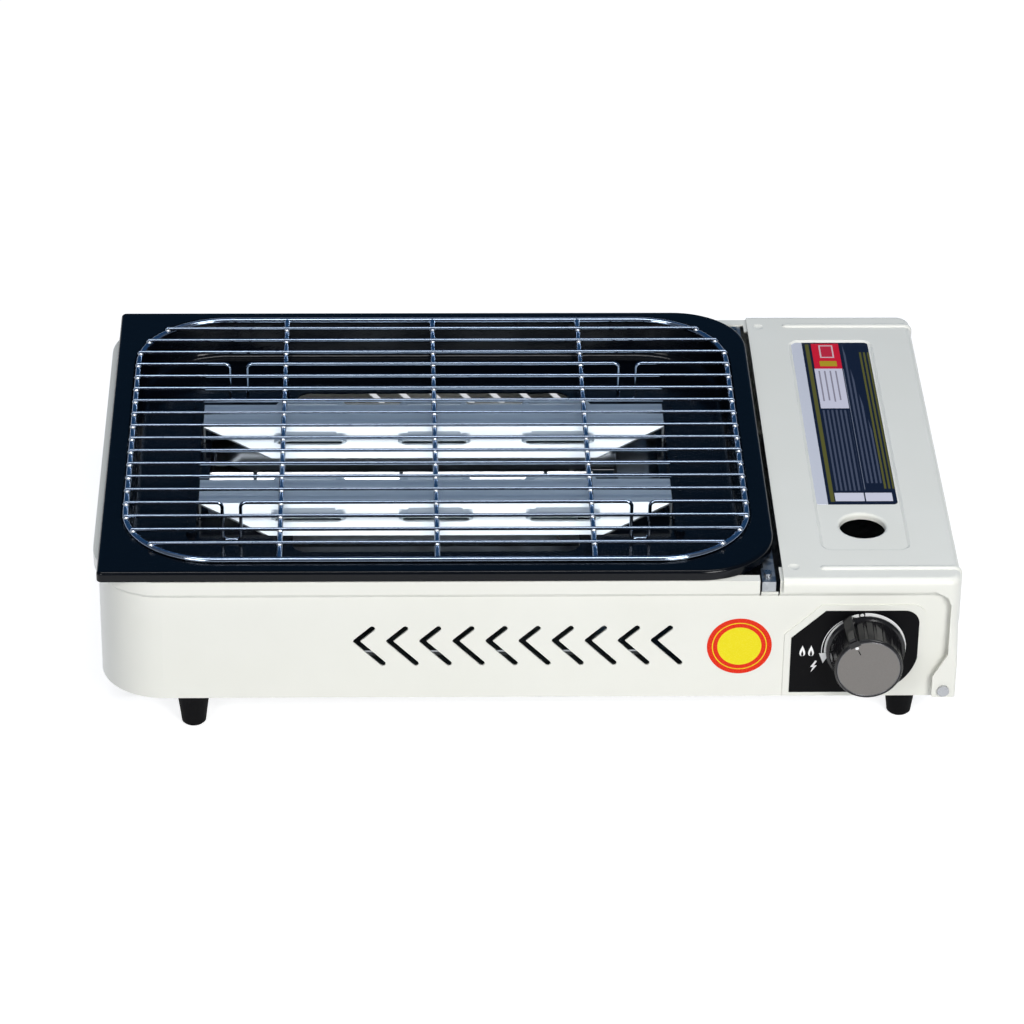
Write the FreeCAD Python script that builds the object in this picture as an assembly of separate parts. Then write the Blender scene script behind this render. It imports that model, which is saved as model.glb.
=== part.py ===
import FreeCAD, Part
import math
import os
from FreeCAD import Matrix, Vector

# Tabletop gas barbecue grill on a cassette-stove chassis, in millimetres.
# It is drawn with X from the left wall, Y from the front wall and Z from the floor,
# then every piece is moved so that the origin is under the middle of the whole object.

# Driving sizes of the body
SHEET = 1.0
BODY_W = 461.0
BODY_D = 285.5
FOOT_H = 20.5
RIM_Z = 95.5
BODY_R = 35.0
SQUARE_R = 3.0
BELT_OUT = 2.5
BELT_H = 11.0
BELT_SLOPE = 3.0
RIM_FLANGE = 6.0
BAY_FLANGE = 14.0
FLOOR_FLANGE = 5.0
BAY_BEND_R = 6.0
SEAT_GAP = 0.3
RUN_GAP = 0.08

# Front wall: vents, control pad, knob axis, notch for the partition's tab
VENT_COUNT = 10
VENT_X = 139.0
VENT_Z = 56.5
VENT_PITCH = 17.8
VENT_W = 3.2
VENT_UP = (8.6, 7.9)
VENT_DOWN = (14.3, -14.2)
KNOB_IN = 47.5
KNOB_UP = 31.0
KNOB_X = BODY_W - KNOB_IN
KNOB_Z = FOOT_H + KNOB_UP
PAD_OUT = 0.8
PAD_BORDER = 3.6
PLATE_T = 0.4
PLATE_LEFT = 40.2
PLATE_RIGHT = 28.4
PLATE_DOWN = 27.9
PLATE_UP = 23.9
PLATE_CUT_X = 18.0
PLATE_CUT_Z = 17.0
PLATE_CORNER = 8.0
PLATE_ARC_R = 29.0
NOTCH_LEFT = 8.5
NOTCH_RIGHT = 2.3
NOTCH_H = 7.3
SLIT_W = 0.8
SLIT_H = 3.8
SIDE_OPEN_END = 14.0
SIDE_OPEN_UP = 22.0

# Feet
FOOT_TOP_R = 9.1
FOOT_BOTTOM_R = 6.6
FOOT_LEFT_IN = (50.4, 9.5)
FOOT_RIGHT_IN = (25.0, 17.0)
SCREW_R = 2.0
SCREW_HEAD_R = 3.8
SCREW_HEAD_H = 2.4
FOOT_BORE_DEPTH = 7.0
NUT_ACROSS = 7.0
NUT_H = 3.2

# Partition between grill and cartridge bay
BAY_W = 97.5
WALL_X = BODY_W - BAY_W
WALL_FLANGE = 6.0
WALL_FOOT = 12.0
TAB_CLEAR = 0.4
NOTCH_X0 = WALL_X - NOTCH_LEFT
NOTCH_X1 = WALL_X + NOTCH_RIGHT
WALL_SLOT_COUNT = 5
WALL_SLOT_L = 20.0
WALL_SLOT_H = 5.0
WALL_SLOT_PITCH = 32.0
WALL_SLOT_REAR = 27.5
WALL_SLOT_UP = 28.5
PARTITION_SCREW_IN = 3.9
PARTITION_SCREW_FRONT = 5.5
PARTITION_SCREW_REAR = 9.0

# Slots in the base plate
BASE_SLOT_COUNT = 7
BASE_SLOT_L = 24.0
BASE_SLOT_W = 5.0
BASE_SLOT_PITCH = 35.0
BASE_SLOT_ROW = 100.0

# Drip tray
TRAY_X0 = 1.0
TRAY_OVER = 1.0
TRAY_OUT = 2.2
TRAY_UP = 6.0
TRAY_X1 = WALL_X + TRAY_OVER
TRAY_Y0 = -TRAY_OUT
TRAY_Y1 = BODY_D + TRAY_OUT
TRAY_Z = RIM_Z + TRAY_UP
TRAY_T = 1.0
TRAY_R = 41.0
TRAY_EDGE_R = 2.0
BASIN_DEPTH = 22.0
BASIN_SLOPE = 5.0
BASIN_FILLET = 5.0
HOLE_LONG_W = 157.0
HOLE_LONG_D = 176.5
HOLE_WIDE_W = 252.0
HOLE_WIDE_D = 104.0
HOLE_CORNER = 8.0
STOP_W = 6.5
STOP_L = 146.0
STOP_H = 2.5

# Wire grill
RING_WIRE_R = 1.8
LONG_WIRE_R = 1.5
CROSS_WIRE_R = 1.0
RING_IN_X = 12.95
RING_IN_Y = 11.65
RING_UP = 0.5
RING_W = TRAY_X1 - TRAY_X0 - 2 * RING_IN_X
RING_D = TRAY_Y1 - TRAY_Y0 - 2 * RING_IN_Y
RING_R = 50.0
RING_Z = TRAY_Z + RING_UP
RING_GAP = 0.9
WELD_SINK = 0.3
CROSS_COUNT = 18
LEG_WIRE = 4
LONG_PITCH = 84.6
LEG_X = 111.6
LEG_W = 10.0
LEG_BEND = 3.0

# Heat plates
HEAT_L = 260.8
HEAT_TOP_W = 25.2
HEAT_LOW_L = 183.4
HEAT_OUT = 16.9
HEAT_T = 0.8
HEAT_H = 11.0
HEAT_OFF = 41.9
LOUVRE_COUNT = 3
LOUVRE_PITCH = 70.0
LOUVRE_L = 36.0
LOUVRE_FLARE = 2.5
LOUVRE_UP = 4.0
LOUVRE_DROP = 6.0
LOUVRE_OUT = 2.4

# Bay cover
LID_GAP = 3.0
LID_SIDE_OUT = 2.5
LID_OUT = 5.0
LID_UP = 1.7
LID_X0 = TRAY_X1 + LID_GAP
LID_X1 = BODY_W + LID_SIDE_OUT
LID_Z = RIM_Z + LID_UP
LID_R = 8.0
LID_LOW_R = 2.0
LID_FLARE_Z = (42.0, 66.0)
LID_BEND_R = 3.8
LID_APRON = 7.4
LID_LEG_W = 5.5
LID_LEG_FOOT_W = 13.0
LID_LEG_RISE = 14.0
HINGE_IN = 4.4
HINGE_UP = 6.5
HINGE_PIN_R = 2.0
HINGE_X = BODY_W - HINGE_IN
HINGE_Z = FOOT_H + HINGE_UP
LID_LOW_Z = HINGE_Z - 4.5
LID_SIDE_Z = HINGE_Z + 7.0
LID_LEG_FOOT_Z = HINGE_Z + 8.5
RECESS_LEFT = 22.4
RECESS_RIGHT = 24.7
RECESS_FRONT = 26.0
RECESS_REAR = 25.1
LID_RECESS_DEPTH = 0.9
LID_RECESS_SLOPE = 1.6
LID_RECESS = (LID_X0 + RECESS_LEFT, RECESS_FRONT, LID_X1 - RECESS_RIGHT, BODY_D - RECESS_REAR)
RIB_LEFT = 22.5
RIB_Y = 7.9
RIB_R = 2.8
RIB_UP = 1.0
RIB_DOWN = 30.0
DIMPLE_LEFT = 6.3
DIMPLE_Y = 9.0
DIMPLE_R = 3.0
DIMPLE_BALL_R = 7.0
HOLE_IN = 48.8
HOLE_Y = 53.0
HOLE_R = 12.5
HOLE_NECK = 3.6
HOLE_ROUND = 1.6

# Control knob
KNOB_FRONT = 22.0
SKIRT_R = 21.4
SKIRT_T = 2.6
GRIP_BACK_R = 19.8
GRIP_FRONT_R = 18.4
FACE_R = 17.1
FACE_DEEP = 1.2
FACE_T = 0.9
FLUTES = 24
FLUTE_R = 1.1
POINTER_DEG = 118.0
POINTER_W = 3.4
POINTER_R = 21.4
SPINDLE_R = 3.0
SPINDLE_FLAT = 1.9
SPINDLE_TIP = 5.0
SPINDLE_BACK = 18.0

# Regulator, cartridge socket and igniter
BRACKET_Y = 10.5
BRACKET_T = 1.5
BRACKET_LEFT = 22.0
BRACKET_RIGHT = 17.0
BRACKET_UP = 3.0
BRACKET_FOOT_L = 36.0
BOLT_OFF = 12.0
BOLT_DOWN = 6.0
REG_W = 37.0
REG_D = 40.0
REG_DOWN = 14.5
REG_UP = 20.5
CAP_R = 15.0
CAP_T = 7.0
CART_R = 33.3
CART_CLEAR = 3.2
BOSS_R = 10.0
BOSS_L = 8.0
CART_PLATE_T = 1.2
CART_PLATE_W = 66.0
CART_PLATE_UP = 24.0
CART_PLATE_FOOT = 16.0
SOCKET_R = 15.0
SOCKET_T = 9.0
SEAL_R = 6.5
SEAL_T = 2.5
MAGNET_R = 5.0
MAGNET_T = 5.0
MAGNET_OFF = 23.0
CRADLE_FRONT = 58.0
CRADLE_REAR = 176.0
CRADLE_W = 58.0
CRADLE_H = 20.5
CRADLE_T = 1.5
CRADLE_STRIP_W = 24.0
PIEZO_W = 12.0
PIEZO_L = 34.0
PIEZO_OFF = -13.0
LEAD_R = 1.3
PIPE_R = 2.5

# Burners and the pan under them
BURNER_R = 8.5
BURNER_WALL = 0.8
BURNER_DOWN = 15.0
BURNER_IN = 3.0
FISHTAIL_L = 14.0
PORTS = 18
PORT_R = 1.0
MANIFOLD_W = 18.0
MANIFOLD_END = 1.6
MANIFOLD_STAND_W = 68.0
STAND_T = 1.2
MIX_THROAT_R = 5.5
MIX_MOUTH_R = 10.0
MIX_L = 32.0
MIX_GAP = 1.0
ELBOW_W = 12.0
ELBOW_BACK = 4.0
ELBOW_BOSS_L = 4.0
JET_OUT = 5.5
PAN_X0 = 56.0
PAN_GAP = 14.0
PAN_HALF_D = 99.5
PAN_LIP_W = 3.5
PAN_SLIT_COUNT = 3
PAN_SLIT_LEFT = 24.5
PAN_SLIT_RIGHT = 26.5
PAN_SLIT_W = 1.6
PAN_SLIT_L = 36.0
PAN_SLIT_ROW = 75.0
PAN_HUMP_SLIT = (-18.0, 20.5)
PAN_LEG_D = 150.0
PAN_LEG_FOOT = 12.0
ELECTRODE_CLEAR = 5.9
ELECTRODE_RISE = 2.0
INSULATOR_R = 2.8
LEAD_IN = 27.5

# Sizes that follow from those above
MID_X = (TRAY_X0 + TRAY_X1) / 2
MID_Y = (TRAY_Y0 + TRAY_Y1) / 2
BASE_TOP = FOOT_H + SHEET
FLOOR_Z = TRAY_Z - BASIN_DEPTH
HEAT_TOP_Z = FLOOR_Z + HEAT_H
FOOT_X = (FOOT_LEFT_IN[0], BODY_W - FOOT_RIGHT_IN[0])
FOOT_PLACES = ((FOOT_X[0], FOOT_LEFT_IN[1]), (FOOT_X[1], FOOT_RIGHT_IN[1]),
               (FOOT_X[0], BODY_D - FOOT_LEFT_IN[1]), (FOOT_X[1], BODY_D - FOOT_RIGHT_IN[1]))
PLATE_X0 = KNOB_X - PLATE_LEFT
PLATE_X1 = KNOB_X + PLATE_RIGHT
PLATE_Z0 = KNOB_Z - PLATE_DOWN
PLATE_Z1 = KNOB_Z + PLATE_UP
RIB_X0 = LID_X0 + RIB_LEFT
DIMPLE_X = LID_X0 + DIMPLE_LEFT
HOLE_X = LID_X1 - HOLE_IN
REG_Z0 = KNOB_Z - REG_DOWN
REG_Z1 = KNOB_Z + REG_UP
REG_Y0 = BRACKET_Y + BRACKET_T
REG_Y1 = REG_Y0 + REG_D
BOLT_Z = REG_Z1 - BOLT_DOWN
CART_PLATE_Y = REG_Y1 + BOSS_L
CART_Z = BASE_TOP + CART_CLEAR + CART_R
CRADLE_Y = (CART_PLATE_Y + CRADLE_FRONT, CART_PLATE_Y + CRADLE_REAR)
BURNER_Z = FLOOR_Z - BURNER_DOWN
BURNER_X0 = PAN_X0 + BURNER_IN
BURNER_Y = (MID_Y - HEAT_OFF, MID_Y + HEAT_OFF)
ELBOW_X1 = WALL_X - SHEET
ELBOW_X0 = ELBOW_X1 - ELBOW_BACK - ELBOW_W
JET_X = ELBOW_X0 - ELBOW_BOSS_L
MANIFOLD_X0 = JET_X - JET_OUT - MIX_GAP - MIX_L - MANIFOLD_W
MANIFOLD_L = 2 * (HEAT_OFF + BURNER_R + MANIFOLD_END)
PAN_X1 = MANIFOLD_X0 - PAN_GAP
TROUGH_Z = BURNER_Z - 9.9
SHELF_Z = BURNER_Z - 3.5
HUMP_Z = BURNER_Z + 0.5
PAN_PROFILE = ((0.0, HUMP_Z), (HEAT_OFF - 19.7, HUMP_Z), (HEAT_OFF - 10.9, TROUGH_Z), (HEAT_OFF + 9.1, TROUGH_Z),
               (HEAT_OFF + 10.9, SHELF_Z), (PAN_HALF_D - PAN_LIP_W, SHELF_Z), (PAN_HALF_D, BURNER_Z + 1.5))
ELECTRODE_OFF = BURNER_R + MANIFOLD_END + ELECTRODE_CLEAR
LEFT = -BELT_OUT
RIGHT = LID_X1 + RIB_UP
RIVET_OUT = LID_OUT + RUN_GAP + 1.5
ORIGIN = Vector((LEFT + RIGHT) / 2, (BODY_D + RIVET_OUT - KNOB_FRONT) / 2, 0)

os.makedirs("parts", exist_ok=True)


def save(name, *shapes):
    """Write one node, moved into the part's own frame."""
    shape = shapes[0] if len(shapes) == 1 else Part.makeCompound(list(shapes))
    shape = shape.copy()
    shape.translate(ORIGIN * -1)
    shape.exportStep("parts/" + name + ".step")
    solids = shape.Solids
    print(name, len(solids), "solids", shape.isValid(), round(sum(s.Volume for s in solids), 1))


def outline(x0, y0, x1, y1, z, r, right_r=None):
    """Closed wire of a level rectangle with rounded corners, left radius r, right radius right_r."""
    q = r if right_r is None else right_r
    corners = ((x0, y0, 1, 1, r), (x1, y0, -1, 1, q), (x1, y1, -1, -1, q), (x0, y1, 1, -1, r))
    ends = []
    for x, y, sx, sy, k in corners:
        along_x = Vector(x + sx * k, y, z)
        along_y = Vector(x, y + sy * k, z)
        bulge = k * (1 - math.sqrt(0.5))
        middle = Vector(x + sx * bulge, y + sy * bulge, z)
        pair = (along_y, middle, along_x) if sx * sy > 0 else (along_x, middle, along_y)
        ends.append(pair)
    edges = []
    for i, (start, middle, end) in enumerate(ends):
        edges.append(Part.Arc(start, middle, end).toShape())
        edges.append(Part.LineSegment(end, ends[(i + 1) % 4][0]).toShape())
    return Part.Wire(edges)


def slab(wire, height):
    return Part.Face(wire).extrude(Vector(0, 0, height))


def loft(*wires):
    return Part.makeLoft(list(wires), True, True)


def box(x0, y0, z0, x1, y1, z1):
    return Part.makeBox(x1 - x0, y1 - y0, z1 - z0, Vector(x0, y0, z0))


def rod(start, end, radius):
    """Solid cylinder from one point to another."""
    start, end = Vector(*start), Vector(*end)
    return Part.makeCylinder(radius, (end - start).Length, start, end - start)


def tube(start, end, radius, wall):
    return rod(start, end, radius).cut(rod(start, end, radius - wall))


def bent_wire(points, radius, bend):
    """Round wire of straight runs joined by tangent arcs of one bend radius."""
    points = [Vector(*p) for p in points]
    edges = []
    here = points[0]
    for before, corner, after in zip(points, points[1:], points[2:]):
        back = (before - corner).normalize()
        on = (after - corner).normalize()
        half = back.getAngle(on) / 2
        reach = bend / math.tan(half)
        start = corner + back * reach
        end = corner + on * reach
        inward = (back + on).normalize()
        middle = corner + inward * (bend / math.sin(half) - bend)
        edges.append(Part.LineSegment(here, start).toShape())
        edges.append(Part.Arc(start, middle, end).toShape())
        here = end
    edges.append(Part.LineSegment(here, points[-1]).toShape())
    section = Part.Wire(Part.makeCircle(radius, points[0], points[1] - points[0]))
    return Part.Wire(edges).makePipeShell([section], True, False)


def turned(profile, axis_point, axis):
    """Solid of revolution of a closed profile given as points."""
    wire = Part.makePolygon([Vector(*p) for p in profile + profile[:1]])
    return Part.Face(wire).revolve(Vector(*axis_point), Vector(*axis), 360)


def prism_y(points, y0, y1):
    """Straight-sided plate: points in X and Z, run from y0 to y1."""
    wire = Part.makePolygon([Vector(x, y0, z) for x, z in points + points[:1]])
    return Part.Face(wire).extrude(Vector(0, y1 - y0, 0))


def fuse(*shapes):
    return shapes[0].fuse(list(shapes[1:])).removeSplitter()


def level_edges(shape, z):
    """Edges of a shape that lie wholly at one height."""
    near = 1e-4
    return [e for e in shape.Edges
            if abs(e.BoundBox.ZMin - z) < near and abs(e.BoundBox.ZMax - z) < near]


def plate_outline(grow, y):
    """Control plate's outline on the front wall: a cut corner, a round one and an arc round the knob."""
    x0 = PLATE_X0 - grow
    x1 = PLATE_X1 + grow
    z0 = PLATE_Z0 - min(grow, PLATE_Z0 - FOOT_H - 0.6)
    z1 = PLATE_Z1 + grow
    slant = grow * 0.45
    arc_r = PLATE_ARC_R + grow
    corner = PLATE_CORNER
    low_x = KNOB_X + math.sqrt(arc_r ** 2 - (KNOB_Z - z0) ** 2) if arc_r > KNOB_Z - z0 else KNOB_X
    right_z = KNOB_Z - math.sqrt(max(arc_r ** 2 - (x1 - KNOB_X) ** 2, 0.0))
    arc_mid = math.radians(-42.0)
    points = [Vector(x0, y, z0), Vector(x0, y, z1 - PLATE_CUT_Z - slant), Vector(x0 + PLATE_CUT_X + slant, y, z1),
              Vector(x1 - corner, y, z1)]
    edges = [Part.LineSegment(a, b).toShape() for a, b in zip(points, points[1:])]
    round_mid = Vector(x1 - corner * (1 - math.sqrt(0.5)), y, z1 - corner * (1 - math.sqrt(0.5)))
    edges.append(Part.Arc(points[-1], round_mid, Vector(x1, y, z1 - corner)).toShape())
    edges.append(Part.LineSegment(Vector(x1, y, z1 - corner), Vector(x1, y, right_z)).toShape())
    under = Vector(KNOB_X + arc_r * math.cos(arc_mid), y, KNOB_Z + arc_r * math.sin(arc_mid))
    edges.append(Part.Arc(Vector(x1, y, right_z), under, Vector(low_x, y, z0)).toShape())
    edges.append(Part.LineSegment(Vector(low_x, y, z0), points[0]).toShape())
    return Part.Wire(edges)


def chevron(x, z):
    """One slot of the vent rows in both walls: two round-ended strokes that meet in a point to the left."""
    strokes = []
    for dx, dz in (VENT_UP, VENT_DOWN):
        length = math.hypot(dx, dz)
        nx, nz = -dz / length * VENT_W / 2, dx / length * VENT_W / 2
        ends = [(x + nx, z + nz), (x + dx + nx, z + dz + nz), (x + dx - nx, z + dz - nz), (x - nx, z - nz)]
        strokes.append(prism_y(ends, -2, BODY_D + 2))
        strokes.append(rod((x + dx, -2, z + dz), (x + dx, BODY_D + 2, z + dz), VENT_W / 2))
    strokes.append(rod((x, -2, z), (x, BODY_D + 2, z), VENT_W / 2))
    return fuse(*strokes)


def body_block(inset, z0, z1):
    """Room inside the body's outline, between two heights, drawn in by an inset and with the belt on top."""
    belt_z = RIM_Z - BELT_H
    right_x, rear_y = BODY_W - inset, BODY_D - inset
    straight = outline(inset, inset, right_x, rear_y, z0, BODY_R - inset, SQUARE_R - inset)
    if z1 <= belt_z:
        return slab(straight, z1 - z0)
    grow = BELT_OUT - inset
    narrow = outline(inset, inset, right_x, rear_y, belt_z, BODY_R - inset, SQUARE_R - inset)
    wide = outline(-grow, -grow, right_x, BODY_D + grow, belt_z + BELT_SLOPE, BODY_R + grow, SQUARE_R - inset)
    return fuse(slab(straight, belt_z - z0), loft(narrow, wide), slab(wide, z1 - belt_z - BELT_SLOPE))


def bay_bend(inset):
    """What lies outside the rounded bend along the body's upper right edge."""
    x, z, r = BODY_W - BAY_BEND_R, RIM_Z - BAY_BEND_R, BAY_BEND_R - inset
    y0, y1 = -2 * BELT_OUT, BODY_D + 2 * BELT_OUT
    return box(x, y0, z, x + 9, y1, z + 9).cut(rod((x, y0, z), (x, y1, z), r))


def make_body_shell():
    outer = body_block(0.0, FOOT_H, RIM_Z).cut(bay_bend(0.0))
    inner = body_block(SHEET, FOOT_H - SHEET, RIM_Z - SHEET).cut(bay_bend(SHEET))
    shell = outer.cut(inner)
    edge = RIM_FLANGE - BELT_OUT
    rim_hole = box(edge, edge, RIM_Z - SHEET - 1, WALL_X + 2, BODY_D - edge, RIM_Z + 1)
    rounded_hole = slab(outline(edge, edge, WALL_X + 2, BODY_D - edge, RIM_Z - SHEET - 1,
                                BODY_R - RIM_FLANGE, 1.0), SHEET + 2)
    bay_edge = BAY_FLANGE - BELT_OUT
    bay_hole = box(WALL_X, bay_edge, RIM_Z - SHEET - 1, BODY_W + 1, BODY_D - bay_edge, RIM_Z + 1)
    shell = shell.cut(rounded_hole.common(rim_hole)).cut(bay_hole)
    floor_flange = body_block(SHEET / 2, BASE_TOP, BASE_TOP + SHEET).cut(
        slab(outline(FLOOR_FLANGE, FLOOR_FLANGE, BODY_W - FLOOR_FLANGE, BODY_D - FLOOR_FLANGE, BASE_TOP - 1,
                     BODY_R - FLOOR_FLANGE, 1.0), SHEET + 2))
    side_hole = box(BODY_W - 5, SIDE_OPEN_END, BASE_TOP + SIDE_OPEN_UP, BODY_W + 5, BODY_D - SIDE_OPEN_END, RIM_Z + 1)
    pad = Part.Face(plate_outline(PAD_BORDER, -PAD_OUT)).extrude(Vector(0, PAD_OUT + SHEET / 2, 0))
    shell = fuse(shell, floor_flange, pad).cut(side_hole)
    vents = [chevron(VENT_X + VENT_PITCH * i, VENT_Z) for i in range(VENT_COUNT)]
    spindle_hole = rod((KNOB_X, -3, KNOB_Z), (KNOB_X, 3, KNOB_Z), SPINDLE_R + 1.5)
    notch = box(NOTCH_X0, -BELT_OUT - 1, RIM_Z - NOTCH_H, NOTCH_X1, BAY_FLANGE, RIM_Z + 1)
    slits = [box(x - SLIT_W / 2, -BELT_OUT - 1, RIM_Z - NOTCH_H - SLIT_H, x + SLIT_W / 2, 3, RIM_Z + 1)
             for x in (NOTCH_X0 + SLIT_W / 2, NOTCH_X1 - SLIT_W / 2)]
    pins = [rod((HINGE_X, y - 3, HINGE_Z), (HINGE_X, y + 3, HINGE_Z), HINGE_PIN_R + RUN_GAP / 2)
            for y in (0, BODY_D)]
    return shell.cut(vents + [spindle_hole, notch] + slits + pins)


def make_base_plate():
    inset = SHEET + 0.2
    plate = slab(outline(inset, inset, BODY_W - inset, BODY_D - inset, FOOT_H,
                         BODY_R - inset, SQUARE_R - inset), SHEET)
    holes = [rod((x, y, FOOT_H - 1), (x, y, BASE_TOP + 1), SCREW_R + RUN_GAP) for x, y in FOOT_PLACES]
    half_l, half_w = BASE_SLOT_L / 2, BASE_SLOT_W / 2
    for y in (MID_Y - BASE_SLOT_ROW, MID_Y + BASE_SLOT_ROW):
        for i in range(BASE_SLOT_COUNT):
            x = MID_X + (i - (BASE_SLOT_COUNT - 1) / 2) * BASE_SLOT_PITCH
            ends = outline(x - half_l, y - half_w, x + half_l, y + half_w, FOOT_H - 1, half_w - 0.1)
            holes.append(slab(ends, SHEET + 2))
    return plate.cut(holes)


def make_foot(x, y):
    lip = 1.0
    profile = [(x, y, 0), (x + FOOT_BOTTOM_R - lip, y, 0), (x + FOOT_BOTTOM_R, y, lip),
               (x + FOOT_TOP_R, y, FOOT_H), (x, y, FOOT_H)]
    foot = turned(profile, (x, y, 0), (0, 0, 1))
    bore = rod((x, y, -1), (x, y, FOOT_H + 1), SCREW_R + RUN_GAP)
    pocket = rod((x, y, -1), (x, y, FOOT_BORE_DEPTH), SCREW_HEAD_R + 0.5)
    return foot.cut([bore, pocket])


def make_foot_screw(x, y):
    head = rod((x, y, FOOT_BORE_DEPTH - SCREW_HEAD_H), (x, y, FOOT_BORE_DEPTH), SCREW_HEAD_R)
    shank = rod((x, y, FOOT_BORE_DEPTH - 0.5), (x, y, BASE_TOP + NUT_H + 1), SCREW_R)
    return fuse(head, shank)


def hexagon(x, y, z, across, height):
    corner = across / math.sqrt(3)
    points = [Vector(x + corner * math.cos(math.radians(60 * i)), y + corner * math.sin(math.radians(60 * i)), z)
              for i in range(7)]
    return Part.Face(Part.makePolygon(points)).extrude(Vector(0, 0, height))


def make_foot_nut(x, y):
    bore = rod((x, y, BASE_TOP - 1), (x, y, BASE_TOP + NUT_H + 1), SCREW_R + RUN_GAP)
    return hexagon(x, y, BASE_TOP, NUT_ACROSS, NUT_H).cut(bore)


def make_partition():
    x0 = WALL_X - SHEET
    top = RIM_Z - SHEET
    gap = SHEET + SEAT_GAP
    clear = FLOOR_FLANGE + 1
    wall = fuse(box(x0, gap, BASE_TOP + SHEET, WALL_X, BODY_D - gap, top),
                box(x0, clear, BASE_TOP, WALL_X, BODY_D - clear, BASE_TOP + 2 * SHEET))
    flange = box(WALL_X - WALL_FLANGE, gap, top - SHEET, WALL_X, BODY_D - gap, top)
    foot = box(WALL_X - WALL_FOOT, WALL_FOOT, BASE_TOP, WALL_X, BODY_D - WALL_FOOT, BASE_TOP + SHEET)
    wide = NOTCH_X0 + SLIT_W + TAB_CLEAR
    tongue = box(wide, -BELT_OUT + 0.5, top - SHEET, WALL_X, BAY_FLANGE - 2, top)
    drop = box(wide, -BELT_OUT + 0.5, RIM_Z - NOTCH_H + SEAT_GAP, WALL_X, -BELT_OUT + 0.5 + SHEET, top)
    holes = [rod((x0 - 1, LEAD_Y, LEAD_Z), (WALL_X + 1, LEAD_Y, LEAD_Z), LEAD_R + 0.5),
             rod((x0 - 1, PIPE_Y, PIPE_Z), (WALL_X + 1, PIPE_Y, PIPE_Z), PIPE_R + 0.5)]
    holes += [rod((x, y, top - 3), (x, y, top + 1), SCREW_R * 0.6 + RUN_GAP) for x, y in PARTITION_SCREWS]
    for i in range(WALL_SLOT_COUNT):
        y = BODY_D - WALL_SLOT_REAR - WALL_SLOT_PITCH * i
        z = BASE_TOP + WALL_SLOT_UP
        holes.append(box(x0 - 1, y - WALL_SLOT_L, z, WALL_X + 1, y, z + WALL_SLOT_H))
    return fuse(wall, flange, foot, tongue, drop).cut(holes)


def make_partition_screw(x, y):
    top = RIM_Z - SHEET
    head_r = SCREW_R * 1.1
    head = rod((x, y, top), (x, y, top + 1.6), head_r)
    shank = rod((x, y, top - 5), (x, y, top + 0.5), SCREW_R * 0.6)
    slot = box(x - head_r, y - 0.3, top + 1.1, x + head_r, y + 0.3, top + 2)
    return fuse(head, shank).cut(slot)


def bead(x0, y0, x1, y1, z, height, r, slope):
    """A pressed bead: walls that lean in to a flat crown."""
    low = outline(x0, y0, x1, y1, z, r)
    high = outline(x0 + slope, y0 + slope, x1 - slope, y1 - slope, z + height, r - slope)
    return loft(low, high)


def make_drip_tray():
    lip_z = RIM_Z + SEAT_GAP
    outer = slab(outline(TRAY_X0, TRAY_Y0, TRAY_X1, TRAY_Y1, lip_z, SQUARE_R, TRAY_R), TRAY_Z - lip_z)
    outer = outer.makeFillet(TRAY_EDGE_R, level_edges(outer, TRAY_Z))
    inner = slab(outline(TRAY_X0 + TRAY_T, TRAY_Y0 + TRAY_T, TRAY_X1 - TRAY_T, TRAY_Y1 - TRAY_T, lip_z - 1,
                         SQUARE_R - TRAY_T, TRAY_R - TRAY_T), TRAY_Z - TRAY_T - lip_z + 1)
    inner = inner.makeFillet(TRAY_EDGE_R - TRAY_T, level_edges(inner, TRAY_Z - TRAY_T))
    half_w = RING_W / 2 + RING_WIRE_R + RING_GAP
    half_d = RING_D / 2 + RING_WIRE_R + RING_GAP
    mouth_r = RING_R + RING_WIRE_R + RING_GAP

    def basin(grow, bottom_z, fillet):
        top = outline(MID_X - half_w - grow, MID_Y - half_d - grow, MID_X + half_w + grow, MID_Y + half_d + grow,
                      TRAY_Z, mouth_r + grow)
        sink = BASIN_SLOPE - grow
        low = outline(MID_X - half_w + sink, MID_Y - half_d + sink, MID_X + half_w - sink, MID_Y + half_d - sink,
                      bottom_z, mouth_r - sink)
        solid = loft(low, top)
        return solid.makeFillet(fillet, level_edges(solid, bottom_z))

    cavity = basin(0.0, FLOOR_Z, BASIN_FILLET)
    body = basin(TRAY_T, FLOOR_Z - TRAY_T, BASIN_FILLET + TRAY_T)
    hole = [slab(outline(MID_X - w / 2, MID_Y - d / 2, MID_X + w / 2, MID_Y + d / 2, FLOOR_Z - 2 * TRAY_T,
                         HOLE_CORNER), 9 * TRAY_T)
            for w, d in ((HOLE_LONG_W, HOLE_LONG_D), (HOLE_WIDE_W, HOLE_WIDE_D))]
    tray = fuse(outer.cut(inner), body).cut(cavity)
    for sign in (-1, 1):
        x = MID_X + sign * (HEAT_L / 2 + SEAT_GAP + STOP_W / 2)
        stop = (x - STOP_W / 2, MID_Y - STOP_L / 2, x + STOP_W / 2, MID_Y + STOP_L / 2)
        tray = tray.fuse(bead(*stop, FLOOR_Z - 0.01, STOP_H, 3.0, 1.0))
        tray = tray.cut(bead(*stop, FLOOR_Z - TRAY_T - 0.01, STOP_H, 3.0, 1.0))
    return tray.cut(hole).removeSplitter()


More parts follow.
